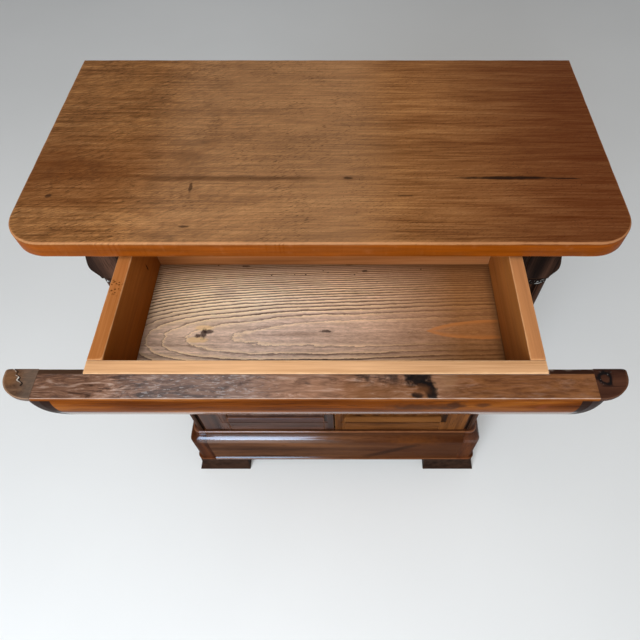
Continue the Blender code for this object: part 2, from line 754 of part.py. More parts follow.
def build_left_bolt(stile, body):
    soften(stile, ARRIS)
    bracket_high = ROD_HIGH - BRACKET_DROP
    bracket = box(
        "left_bolt_bracket",
        (ROD_X - BRACKET_WIDTH / 2, DOOR_BACK + GAP, bracket_high - BRACKET_HEIGHT),
        (ROD_X + BRACKET_WIDTH / 2, DOOR_BACK + GAP + BRACKET_THICK, bracket_high),
        IRON,
        body,
        arris=0,
    )
    way = circle((ROD_X, ROD_Y), ROD_RADIUS + ROD_CLEAR)
    way_cutter = prism("rod_way_cutter", way, "Z", ROD_HIGH - ROD_LENGTH, ROD_HIGH, IRON)
    boolean(bracket, way_cutter, "DIFFERENCE")
    slide = axis_empty("left_bolt_axis", (ROD_X, ROD_Y, ROD_HIGH))
    rod_low = ROD_HIGH - ROD_LENGTH
    rod = prism("left_door_bolt", circle((ROD_X, ROD_Y), ROD_RADIUS), "Z", rod_low, ROD_HIGH, IRON, slide)
    knob = circle((ROD_X, rod_low + ROD_KNOB_RADIUS), ROD_KNOB_RADIUS)
    knob_part = prism("rod_knob", knob, "Y", ROD_Y, ROD_Y + ROD_KNOB_LENGTH, IRON)
    boolean(rod, knob_part, "UNION")


def build_doors():
    bodies = {}
    stiles = {}
    for side, word in ((-1, "left"), (1, "right")):
        body = axis_empty(word + "_door_axis", (side * HINGE_X, HINGE_Y, DOOR_LOW))
        bodies[word] = body
        stiles[word] = build_door_frame(side, word, body)
        build_hinges(side, word, body)
    build_lock(stiles["right"], bodies["right"])
    build_left_bolt(stiles["left"], bodies["left"])


clear_scene()
build_top()
build_frieze()
build_deck()
build_posts_and_panels()
build_inside()
build_plinth()
build_feet()
build_drawer()
build_doors()
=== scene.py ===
"""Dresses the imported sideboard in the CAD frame: finer forms, woods and metals, floor, light and camera.

Metres, +Z up, front towards -Y, as in the part. The drawer stands open at rest.
"""

import json
import math
from functools import partial

import bmesh
import bpy
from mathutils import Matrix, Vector, noise


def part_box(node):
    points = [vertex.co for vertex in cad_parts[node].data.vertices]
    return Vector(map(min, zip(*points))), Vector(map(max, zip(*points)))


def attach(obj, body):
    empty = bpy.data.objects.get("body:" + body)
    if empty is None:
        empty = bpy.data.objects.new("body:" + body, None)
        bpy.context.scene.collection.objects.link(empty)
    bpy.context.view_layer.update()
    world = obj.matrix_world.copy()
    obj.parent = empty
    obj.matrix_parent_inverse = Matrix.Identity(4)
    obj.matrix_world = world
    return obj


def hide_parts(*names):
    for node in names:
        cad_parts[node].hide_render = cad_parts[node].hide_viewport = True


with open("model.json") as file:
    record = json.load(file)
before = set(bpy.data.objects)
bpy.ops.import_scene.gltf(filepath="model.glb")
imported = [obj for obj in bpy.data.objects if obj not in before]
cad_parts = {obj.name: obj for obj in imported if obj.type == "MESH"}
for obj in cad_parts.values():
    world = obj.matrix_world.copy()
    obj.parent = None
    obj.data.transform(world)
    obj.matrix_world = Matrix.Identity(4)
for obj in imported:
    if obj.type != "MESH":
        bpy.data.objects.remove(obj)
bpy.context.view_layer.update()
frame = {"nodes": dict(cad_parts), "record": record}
RECORD = frame["record"]
BODY_OF = {node: body for body, nodes in RECORD["behaviour"]["bodies"].items() for node in nodes}
SLOT_OF = {row["node"]: row["material_slot"] for row in RECORD["subparts"]}
SIDES = ((-1, "left"), (1, "right"))
SCENE = bpy.context.scene

# Rounding and wear of edges
SHARP_ANGLE = math.radians(25)
SMOOTH_ANGLE = math.radians(35)
FLAT_ANGLE = math.radians(1)
BOARD_ROUND = 0.0012
ROUND_SHARE = 0.3
CORNER_SHARE = 0.4
CORNER_FADE_SHARE = 0.48
CORNER_STEPS = 4
WEAR_BAND = 0.0025
WEAR_DEPTH = 0.00035
WEAR_SIZE = 0.022
WEAR_FALL = 1.5
CORNER_WEAR = 0.4
SLAB_WEAR = 0.3
BEVEL_WEAR = 0.6
BOARD_STEP = 0.03
ARRIS_SHARES = (0.0, 0.4226, 0.732, 1.0)
ARC_STEPS = 24
WELD = 1e-6
SEED_STEP = 1.37

# Top board
TOP_RADIUS = 0.051
TOP_ROUND = 0.003
TOP_UNDER_ROUND = 0.0014
TOP_STEP = 0.008
SLAB_ROUND_STEPS = 6

# Drawer facing, as in the part
FACING_THICK = 0.0307
FACING_RETURN = 0.0063
FACING_FILLET = 0.006
FACING_COVE_SET = 0.0065
FACING_COVE_HEIGHT = 0.012
FACING_FOOT_THICK = 0.002
FACING_FOOT = FACING_THICK - FACING_FOOT_THICK
BELLY_TOP_PULL = (0.002, 0.04)
BELLY_FOOT_PULL = (0.016, 0.078)
END_ROUND_LENGTH = 0.036
END_ROUND_SHARE = 0.95
END_ROUND_SHIFT = 0.004
END_SET = 0.016
END_REAR_ROUND = 0.003
END_FIRST_SHARE = 0.6

# Steps of the facing's mesh, the rounding of its edges and the step in its back beside the drawer box
FACING_STEP = 0.006
FACING_ROUND = 0.0011
COVE_STEPS = 10
BELLY_STEPS = 28
BOX_CLEAR = 0.0004
BOX_STEP = 0.0002
BARE_DEPTH = 0.0004
BARE_FOOT = 0.0005

# Side friezes, measured out from the carcass side, as in the part
FRIEZE_BASE_SET = 0.009
FRIEZE_BELLY_RISE = 0.025
FRIEZE_HOLLOW_SET = 0.007
FRIEZE_HOLLOW_RISE = 0.066
FRIEZE_LIP = 0.002
FRIEZE_LIP_HEIGHT = 0.01
FRIEZE_STEPS = 16

# Front posts: their rounding, as in the part, and the groove beside the door
CORNER_RADIUS = 0.026
POST_GROOVE = 0.0042
POST_GROOVE_DEPTH = 0.0055
POST_START_DEG = 280

# Plinth, measured out from the carcass faces, as in the part
PLINTH_WALL = 0.014
PLINTH_CORNER_RADIUS = 0.017
PLINTH_CORNER_SPARE = 0.001
PLINTH_LIP = 0.022
PLINTH_LIP_HEIGHT = 0.009
PLINTH_LIP_SLOPE = 0.004
TORUS_RADIUS = 0.022
TORUS_OUT = 0.0175
PLINTH_FILLET = 0.004
PLINTH_FILLET_HEIGHT = 0.018
PLINTH_ROUND = 0.0034
LONG_STEP = 0.02

# Moulded inner edge of the door frames
MOULD_WIDTH = 0.0155
MEETING_MOULD_WIDTH = 0.0098
MOULD_DEPTH = 0.0085
MOULD_FILLET = 0.0011
MOULD_STEPS = 7
MOULD_END = 1.03

# Holes for the key and for the left door's bolt
KEYHOLE_RADIUS = 0.0032
KEYHOLE_REACH = 0.06
BOLT_RADIUS = 0.0035
BOLT_HOLE_RADIUS = 0.0046
BOLT_HOLE_REACH = 0.05

# Roundings of single pieces
DRAWER_ROUND = 0.001
BOTTOM_ROUND = 0.0006
PANEL_ROUND = 0.0005
POST_ROUND = 0.0015
FOOT_ROUND = 0.0018
IRON_ROUND = 0.0003
BRASS_ROUND = 0.0004

# Levels that the marks in the woods are placed by
TOP_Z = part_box("top_board")[1].z
DRAWER_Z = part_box("drawer_inner_front")[1].z
BOTTOM_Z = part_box("drawer_bottom")[1].z
DECK_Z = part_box("drawer_deck")[0].z
FACING_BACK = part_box("drawer_inner_front")[0].y
PLINTH_LOW, PLINTH_HIGH = (corner.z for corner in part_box("plinth_front"))
TORUS_TOP = PLINTH_HIGH - PLINTH_FILLET_HEIGHT


# ---------------------------------------------------------------- forms


def add_object(name, data):
    obj = bpy.data.objects.new(name, data)
    SCENE.collection.objects.link(obj)
    return obj


def blend(start, end, share):
    return start + (end - start) * share


def ease(share):
    return (1 - math.cos(math.pi * share)) / 2


def arc(centre, radii, start_deg, end_deg, steps=ARC_STEPS):
    points = []
    for i in range(steps + 1):
        angle = math.radians(blend(start_deg, end_deg, i / steps))
        points.append((centre[0] + radii[0] * math.cos(angle), centre[1] + radii[1] * math.sin(angle)))
    return points


def split(start, end, count):
    return [blend(start, end, i / count) for i in range(count + 1)]


def spaced(low, high, step):
    return split(low, high, max(1, round((high - low) / step)))


def reach_of(node):
    """The node's box and how near and far it lies from the middle of the width."""
    low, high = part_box(node)
    return low, high, *sorted((abs(low.x), abs(high.x)))


def ease_corners(points, radius):
    """The closed outline with its sharp corners rounded, and how worn each of its points is."""
    corners = [Vector(point) for point in points]
    following = corners[1:] + corners[:1]
    area = sum(a.x * b.y - b.x * a.y for a, b in zip(corners, following))
    outline = []
    wear = []

    def add(point, worn=0.0):
        outline.append(tuple(point))
        wear.append(worn)

    for before, corner, after in zip(corners[-1:] + corners, corners, following):
        before = before - corner
        after = after - corner
        turn = math.pi - before.angle(after)
        if turn < SHARP_ANGLE:
            add(corner)
            continue
        convex = (before.y * after.x - before.x * after.y) * area > 0
        shorter = min(before.length, after.length)
        reach = min(radius * math.tan(turn / 2), CORNER_SHARE * shorter)
        fade = min(reach + WEAR_BAND, CORNER_FADE_SHARE * shorter)
        before.normalize()
        after.normalize()
        add(corner + before * fade)
        for share in split(0, 1, CORNER_STEPS):
            pull = before * (1 - share) ** 2 + after * share**2
            add(corner + pull * reach, convex * blend(CORNER_WEAR, 1.0, math.sin(math.pi * share)))
        add(corner + after * fade)
    return outline, wear


def wear_down(bm, edge):
    """Takes a little off the worn edges, unevenly."""
    bm.normal_update()
    for vert in bm.verts:
        if vert[edge] > 0:
            uneven = 0.5 + noise.noise(Vector(vert.co) / WEAR_SIZE)
            vert.co -= vert.normal * (WEAR_DEPTH * vert[edge] * uneven)


def piece(node, bm, materials):
    """The mesh as a shown piece that stands for the CAD node."""
    seed = bm.verts.layers.float.new("seed")
    value = SEED_STEP * sorted(BODY_OF).index(node)
    for vert in bm.verts:
        vert[seed] = value
    mesh = bpy.data.meshes.new(node + "_form")
    bm.to_mesh(mesh)
    bm.free()
    for material in materials:
        mesh.materials.append(material)
    mesh.polygons.foreach_set("use_smooth", [True] * len(mesh.polygons))
    mesh.set_sharp_from_angle(angle=SMOOTH_ANGLE)
    obj = add_object(node + "_form", mesh)
    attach(obj, BODY_OF[node])
    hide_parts(node)
    return obj


def join_rings(bm, one, two, tags=None):
    """A strip of faces between two rings of points. The tags give their materials."""
    for j in range(len(one)):
        k = (j + 1) % len(one)
        face = bm.faces.new((one[j], one[k], two[k], two[j]))
        face.material_index = tags[j] if tags else 0


def cap(bm, edge, loop, tag):
    """Closes a loop, with the wear kept to the rim of the face."""
    face = bm.faces.new(loop)
    face.material_index = tag
    bmesh.ops.inset_individual(bm, faces=[face], thickness=WEAR_BAND)
    for vert in face.verts:
        vert[edge] = 0.0


def skin(node, rings, materials, point_wear=None, ring_wear=None, tags=None, cap_tag=0):
    """A closed skin over rings of points, worn along its lines, its rings or both."""
    bm = bmesh.new()
    edge = bm.verts.layers.float.new("edge")
    loops = []
    for ring, worn in zip(rings, ring_wear or [0.0] * len(rings)):
        loop = []
        for point, wear in zip(ring, point_wear or [0.0] * len(ring)):
            vert = bm.verts.new(point)
            vert[edge] = max(wear, worn)
            loop.append(vert)
        loops.append(loop)
    for one, two in zip(loops, loops[1:]):
        join_rings(bm, one, two, tags)
    cap(bm, edge, loops[0], cap_tag)
    cap(bm, edge, loops[-1], cap_tag)
    bmesh.ops.recalc_face_normals(bm, faces=bm.faces)
    wear_down(bm, edge)
    return piece(node, bm, materials)


def board_stations(low, high, radius):
    """Places along one side of a board: close together at its rounded ends, then evenly spaced."""
    end = [radius * share for share in ARRIS_SHARES]
    inset = radius + min(WEAR_BAND, (high - low - 2 * radius) / 4)
    middle = spaced(low + inset, high - inset, BOARD_STEP)
    return [low + reach for reach in end] + middle + [high - reach for reach in reversed(end)]


def board_mesh(low, high, radius, extra=None, shape=None):
    """A board with rounded, worn edges. The shape moves a point, given where it was on the plain box."""
    bm = bmesh.new()
    edge = bm.verts.layers.float.new("edge")
    radius = min(radius, ROUND_SHARE * min(high - low))
    stations = []
    for k in range(3):
        places = set(board_stations(low[k], high[k], radius))
        places.update((extra or {}).get(k, ()))
        stations.append(sorted(places))
    core_low = low + Vector((radius,) * 3)
    core_high = high - Vector((radius,) * 3)

    def add_vert(places):
        flat = Vector([places[k] for k in range(3)])
        near = sorted(min(flat[k] - low[k], high[k] - flat[k]) for k in range(3))
        core = Vector([min(max(flat[k], core_low[k]), core_high[k]) for k in range(3)])
        point = core + (flat - core).normalized() * radius
        if shape:
            point = shape(flat, point)
        vert = bm.verts.new(point)
        vert[edge] = max(0.0, 1 - near[1] / (radius + WEAR_BAND)) ** WEAR_FALL
        return vert

    for k in range(3):
        a, b = [i for i in range(3) if i != k]
        for level in (low[k], high[k]):
            grid = [[add_vert({k: level, a: u, b: v}) for v in stations[b]] for u in stations[a]]
            for one, two in zip(grid, grid[1:]):
                for j in range(len(one) - 1):
                    bm.faces.new((one[j], one[j + 1], two[j + 1], two[j]))
    bmesh.ops.remove_doubles(bm, verts=bm.verts, dist=WELD)
    bmesh.ops.dissolve_degenerate(bm, edges=bm.edges, dist=WELD)
    bmesh.ops.recalc_face_normals(bm, faces=bm.faces)
    wear_down(bm, edge)
    return bm


def board(node, material, radius=BOARD_ROUND):
    return piece(node, board_mesh(*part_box(node), radius), [material])


def dress(node, material, width):
    """The CAD node's own form with its edges rounded."""
    bm = bmesh.new()
    bm.from_mesh(frame["nodes"][node].data)
    for layers in (bm.loops.layers.uv, bm.verts.layers.float):
        for layer in list(layers.values()):
            layers.remove(layer)
    bmesh.ops.remove_doubles(bm, verts=bm.verts, dist=WELD)
    bmesh.ops.dissolve_limit(bm, angle_limit=FLAT_ANGLE, verts=bm.verts, edges=bm.edges)
    edge = bm.verts.layers.float.new("edge")
    sharp = [e for e in bm.edges if e.is_manifold and e.calc_face_angle() > SMOOTH_ANGLE]
    made = bmesh.ops.bevel(
        bm, geom=sharp, offset=width, segments=3, profile=0.5, affect="EDGES", clamp_overlap=True
    )
    for vert in made["verts"]:
        vert[edge] = BEVEL_WEAR
    return piece(node, bm, [material])


def pierce(obj, centre, radius, axis, reach):
    """A round hole through the piece along an axis, for a pin that passes through it."""
    bm = bmesh.new()
    rings = []
    for along in (-reach, reach):
        ring = []
        for a, b in arc((0, 0), (radius, radius), 0, 360)[:-1]:
            offset = {"Y": (a, along, b), "Z": (a, b, along)}[axis]
            ring.append(bm.verts.new(Vector(centre) + Vector(offset)))
        rings.append(ring)
    join_rings(bm, *rings)
    bm.faces.new(rings[0])
    bm.faces.new(rings[1])
    bmesh.ops.recalc_face_normals(bm, faces=bm.faces)
    mesh = bpy.data.meshes.new("hole")
    bm.to_mesh(mesh)
    bm.free()
    tool = add_object("hole", mesh)
    cut = obj.modifiers.new("hole", "BOOLEAN")
    cut.operation = "DIFFERENCE"
    cut.solver = "EXACT"
    cut.object = tool
    bpy.context.view_layer.update()
    cut_mesh = bpy.data.meshes.new_from_object(obj.evaluated_get(bpy.context.evaluated_depsgraph_get()))
    obj.modifiers.clear()
    obj.data = cut_mesh
    bpy.data.objects.remove(tool)


def board_plan(half, front, back, radius, inset, step):
    """A plan with two round front corners, drawn in by the inset."""
    lengths = (2 * (half - radius), back - front - radius, 2 * half)
    across_count, side_count, rear_count = [max(1, round(length / step)) for length in lengths]
    half -= inset
    turn = (half - (radius - inset), front + radius)
    right = arc(turn, (radius - inset, radius - inset), 270, 360)
    left = [(-x, y) for x, y in reversed(right)]
    across = [(x, front + inset) for x in split(left[-1][0], right[0][0], across_count)[1:-1]]
    side = [(half, y) for y in split(right[-1][1], back - inset, side_count)[1:]]
    rear = [(x, back - inset) for x in split(half, -half, rear_count)[1:-1]]
    return left + across + right + side + rear + [(-x, y) for x, y in reversed(side)]


def slab(node, material, radius, under_round, over_round, step):
    """A board with round front corners and rounded, worn edges above and below."""
    low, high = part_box(node)
    rows = [(under_round + 3 * WEAR_BAND, low.z, 0.0)]
    for level, edge_round, turn in ((low.z, under_round, 1), (high.z, over_round, -1)):
        bend = []
        for i in range(SLAB_ROUND_STEPS + 1):
            angle = math.pi / 2 * i / SLAB_ROUND_STEPS
            inset = edge_round * (1 - math.sin(angle))
            rise = edge_round * (1 - math.cos(angle))
            bend.append((inset, level + turn * rise, blend(SLAB_WEAR, 1.0, math.sin(2 * angle))))
        rows += bend if turn > 0 else list(reversed(bend))
    rows += [(over_round + bands * WEAR_BAND, high.z, 0.0) for bands in (1, 3)]
    rings = []
    for inset, z, _ in rows:
        plan = board_plan(high.x, low.y, high.y, radius, inset, step)
        rings.append([(x, y, z) for x, y in plan])
    return skin(node, rings, [material], ring_wear=[row[2] for row in rows])


def facing_curve():
    """The drawer's shaped front, from the top of its rear face down, as (set back, drop)."""
    low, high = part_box("drawer_facing")
    points = [(FACING_THICK, 0.0), (0.0, 0.0), (0.0, FACING_FILLET)]
    cove_end = FACING_FILLET + FACING_COVE_HEIGHT
    for i in range(1, COVE_STEPS + 1):
        angle = math.pi / 2 * i / COVE_STEPS
        points.append((FACING_COVE_SET * math.sin(angle), cove_end - FACING_COVE_HEIGHT * math.cos(angle)))
    foot = (FACING_FOOT, high.z - low.z)
    handles = [(FACING_COVE_SET, cove_end), BELLY_TOP_PULL, BELLY_FOOT_PULL, foot]
    for i in range(1, BELLY_STEPS + 1):
        share = i / BELLY_STEPS
        rest = 1 - share
        weights = (rest**3, 3 * rest**2 * share, 3 * rest * share**2, share**3)
        points.append(tuple(sum(w * handle[k] for w, handle in zip(weights, handles)) for k in range(2)))
    points.append((FACING_THICK, high.z - low.z))
    return ease_corners(points, FACING_ROUND)


def build_facing(bare, veneer, blocks):
    curve, wear = facing_curve()
    low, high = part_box("drawer_facing")
    box_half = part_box("drawer_inner_front")[1].x + BOX_CLEAR
    places = []
    for start, end in ((low.x, -box_half), (BOX_STEP - box_half, box_half - BOX_STEP), (box_half, high.x)):
        places += spaced(start, end, FACING_STEP)
    rings = []
    for x in places:
        tail = FACING_RETURN if abs(x) >= box_half else 0.0
        ring = [(back + tail if back > FACING_FOOT else back, drop) for back, drop in curve]
        rings.append([(x, low.y + back, high.z - drop) for back, drop in ring])
    tags = []
    for one, two in zip(curve, curve[1:] + curve[:1]):
        front = max(one[1], two[1]) > BARE_DEPTH and min(one[0], two[0]) < FACING_FOOT - BARE_FOOT
        tags.append(1 if front else 0)
    skin("drawer_facing", rings, [bare, veneer], wear, tags=tags)
    for side, word in SIDES:
        node = "drawer_end_block_" + word
        _, block_high, joint, outer = reach_of(node)
        rear = block_high.y
        rings = []
        ring_wear = []
        for (back, drop), worn in zip(curve, wear):
            if back > FACING_FOOT or back > END_FIRST_SHARE * FACING_THICK and drop < FACING_FILLET:
                continue
            share = min(1.0, back / FACING_COVE_SET)
            end = outer - END_SET * share
            front = low.y + back
            depth = END_ROUND_SHARE * (low.y + FACING_THICK - front)
            centre = (outer - END_ROUND_LENGTH + END_ROUND_SHIFT * share, front + depth)
            turn = (end - END_REAR_ROUND, rear - END_REAR_ROUND)
            plan = [(joint, rear), (joint, front)]
            plan += arc(centre, (end - centre[0], depth), 270, 360)
            plan += arc(turn, (END_REAR_ROUND, END_REAR_ROUND), 0, 90, CORNER_STEPS)
            rings.append([(side * x, y, high.z - drop) for x, y in plan])
            ring_wear.append(worn)
        skin(node, rings, [blocks[word]], ring_wear=ring_wear)


def build_friezes(material, end_material):
    for side, word in SIDES:
        node = "side_frieze_" + word
        low, high, inner, outer = reach_of(node)
        face = outer - FRIEZE_LIP
        stops = [
            (-FRIEZE_BASE_SET, low.z),
            (0.0, low.z + FRIEZE_BELLY_RISE),
            (-FRIEZE_HOLLOW_SET, low.z + FRIEZE_HOLLOW_RISE),
            (FRIEZE_LIP, high.z - FRIEZE_LIP_HEIGHT),
        ]
        section = [(inner, low.z)]
        for (out_a, z_a), (out_b, z_b) in zip(stops, stops[1:]):
            for i in range(FRIEZE_STEPS):
                share = i / FRIEZE_STEPS
                section.append((face + blend(out_a, out_b, ease(share)), blend(z_a, z_b, share)))
        lip = face + FRIEZE_LIP
        section += [(lip, high.z - FRIEZE_LIP_HEIGHT), (lip, high.z), (inner, high.z)]
        section, wear = ease_corners(section, BOARD_ROUND)
        rings = [[(side * x, y, z) for x, z in section] for y in spaced(low.y, high.y, LONG_STEP)]
        skin(node, rings, [material, end_material], wear, [1.0] + [0.0] * (len(rings) - 1), cap_tag=1)


def build_posts(material):
    for side, word in SIDES:
        node = "front_post_" + word
        low, high, inner, outer = reach_of(node)
        groove = low.y + POST_GROOVE_DEPTH
        plan = [(inner, groove), (inner + POST_GROOVE, groove)]
        turn = (outer - CORNER_RADIUS, low.y + CORNER_RADIUS)
        plan += arc(turn, (CORNER_RADIUS, CORNER_RADIUS), POST_START_DEG, 360)
        plan += [(outer, high.y), (inner, high.y)]
        plan, wear = ease_corners(plan, BOARD_ROUND)
        rings = [[(side * x, y, z) for x, y in plan] for z in spaced(low.z, high.z, LONG_STEP)]
        skin(node, rings, [material], wear)


def plinth_section():
    """Section of the plinth, as (distance out, height), and its wear."""
    torus_out = TORUS_OUT - TORUS_RADIUS
    end = math.degrees(math.acos((PLINTH_FILLET - torus_out) / TORUS_RADIUS))
    lip_top = PLINTH_LOW + PLINTH_LIP_HEIGHT
    points = [(-PLINTH_WALL, PLINTH_LOW), (PLINTH_LIP, PLINTH_LOW), (PLINTH_LIP, lip_top)]
    points.append((TORUS_OUT, lip_top + PLINTH_LIP_SLOPE))
    points += arc((torus_out, TORUS_TOP - TORUS_RADIUS), (TORUS_RADIUS, TORUS_RADIUS), 0, end)
    points += [(PLINTH_FILLET, PLINTH_HIGH), (-PLINTH_WALL, PLINTH_HIGH)]
    return ease_corners(points, PLINTH_ROUND)


def build_plinth(front_wood, side_wood, corner_wood):
    section, wear = plinth_section()
    low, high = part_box("plinth_front")
    front = low.y + PLINTH_LIP
    rings = [[(x, front - out, z) for out, z in section] for x in spaced(low.x, high.x, LONG_STEP)]
    skin("plinth_front", rings, [front_wood], wear)
    for side, word in SIDES:
        node = "plinth_side_" + word
        low, high, _, outer = reach_of(node)
        face = outer - PLINTH_LIP
        rings = []
        for y in spaced(low.y, high.y, LONG_STEP):
            rings.append([(side * (face + out), y, z) for out, z in section])
        skin(node, rings, [side_wood], wear)
        lines = []
        for out, z in section:
            radius = min(PLINTH_CORNER_RADIUS, CORNER_RADIUS + out - PLINTH_CORNER_SPARE)
            line = [(face - CORNER_RADIUS, front - out)]
            line += arc((face + out - radius, front - out + radius), (radius, radius), 270, 360)
            line += [(face + out, front + CORNER_RADIUS)]
            lines.append([(side * x, y, z) for x, y in line])
        rings = [list(ring) for ring in zip(*lines)]
        skin("plinth_corner_" + word, rings, [corner_wood], wear)


def mould_cut(share):
    """How far the frame's front lies back, at a share of the moulding's width from the panel's opening."""
    if share >= MOULD_END:
        return 0.0
    if share >= 1:
        return MOULD_FILLET
    inward = 1 - max(share, 0.0)
    return MOULD_FILLET + (MOULD_DEPTH - MOULD_FILLET) * (1 - math.sqrt(1 - inward**2))


def build_door(word, upright, level, panel):
    opening_low, opening_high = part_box(word + "_door_panel")
    shares = [1 - math.cos(math.pi / 2 * i / MOULD_STEPS) for i in range(MOULD_STEPS + 1)] + [MOULD_END]
    across = (MOULD_WIDTH, MEETING_MOULD_WIDTH)
    widths = {0: across if word == "left" else across[::-1], 2: (MOULD_WIDTH, MOULD_WIDTH)}

    def build_bar(node, material):
        low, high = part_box(node)
        extra = {}
        for k in widths:
            places = [opening_low[k] - share * widths[k][0] for share in shares]
            places += [opening_high[k] + share * widths[k][1] for share in shares]
            extra[k] = [place for place in places if low[k] < place < high[k]]

        def shape(flat, point):
            shares_out = [(opening_low[k] - flat[k]) / widths[k][0] for k in widths]
            shares_out += [(flat[k] - opening_high[k]) / widths[k][1] for k in widths]
            return Vector((point.x, max(point.y, low.y + mould_cut(max(shares_out))), point.z))

        return piece(node, board_mesh(low, high, BOARD_ROUND, extra, shape), [material])

    build_bar(word + "_door_outer_stile", upright)
    stile = build_bar(word + "_door_meeting_stile", upright)
    if word == "right":
        plate_low, plate_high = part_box("escutcheon")
        pierce(stile, (plate_low + plate_high) / 2, KEYHOLE_RADIUS, "Y", KEYHOLE_REACH)
    build_bar(word + "_door_top_rail", level)
    build_bar(word + "_door_bottom_rail", level)
    board(word + "_door_panel", panel, PANEL_ROUND)


# ------------------------------------------------------------ materials

# A radius that leaves one direction of a spot open
ANYWHERE = 1000.0

# Polish, where it is left
COAT_ROUGHNESS = 0.1
COAT_IOR = 1.75

# Where the three tones of a wood lie in its figure
WALNUT_STOPS = (0.3, 0.5, 0.72)
PALE_STOPS = (0.3, 0.52, 0.74)
BARE_ROUGHNESS = 0.55

# Lean of the curl in the top
CURL_LEAN = math.radians(-24)

# Growth rings of the drawer's bottom board: their spacing, how they point left, and the lean of their axis
RING_STEP = 0.0025
RING_DEPTH = 0.1075
RING_DROP = 0.00709
RING_FALL = 0.07
RING_START = 0.22
RING_AXIS = (0.034, -0.161)
RING_MIN_SLOPE = 0.07

# The heights between which the doors' colours become alike, and what brings each one there. Near the floor
# their colours carry painted light and shade.
DOOR_FADE = (0.3, 0.48)
DOOR_GAIN = {"left": (1.42, 1.23, 0.78), "right": (0.79, 0.83, 1.28)}


def sign(operation, swapped=False):
    """What an arithmetic sign does to a value in a shader."""

    def add_node(one, *other):
        return one.nodes.math(operation, *((*other, one) if swapped else (one, *other)))

    return add_node


class Value:
    """A number in a shader. Arithmetic on it adds nodes, and | takes the larger of two."""

    def __init__(self, nodes, socket):
        self.nodes = nodes
        self.socket = socket

    __add__ = __radd__ = sign("ADD")
    __mul__ = __rmul__ = sign("MULTIPLY")
    __sub__ = sign("SUBTRACT")
    __rsub__ = sign("SUBTRACT", True)
    __truediv__ = sign("DIVIDE")
    __rtruediv__ = sign("DIVIDE", True)
    __or__ = sign("MAXIMUM")
    __abs__ = sign("ABSOLUTE")

    def steps(self, low, high, start=0.0, end=1.0):
        """Runs smoothly from start, where the value is low, to end, where it is high."""
        inputs = {"Value": self, "From Min": low, "From Max": high, "To Min": start, "To Max": end}
        return self.nodes.value("ShaderNodeMapRange", inputs, interpolation_type="SMOOTHSTEP")

    def band(self, start, full, fade, end):
        """Rises from start to full, and falls from fade to end."""
        return self.steps(start, full) * self.steps(end, fade)

    def scale(self, low, high):
        """The value from 0 to 1 drawn out to run from low to high."""
        return self.nodes.value("ShaderNodeMapRange", {"Value": self, "To Min": low, "To Max": high})


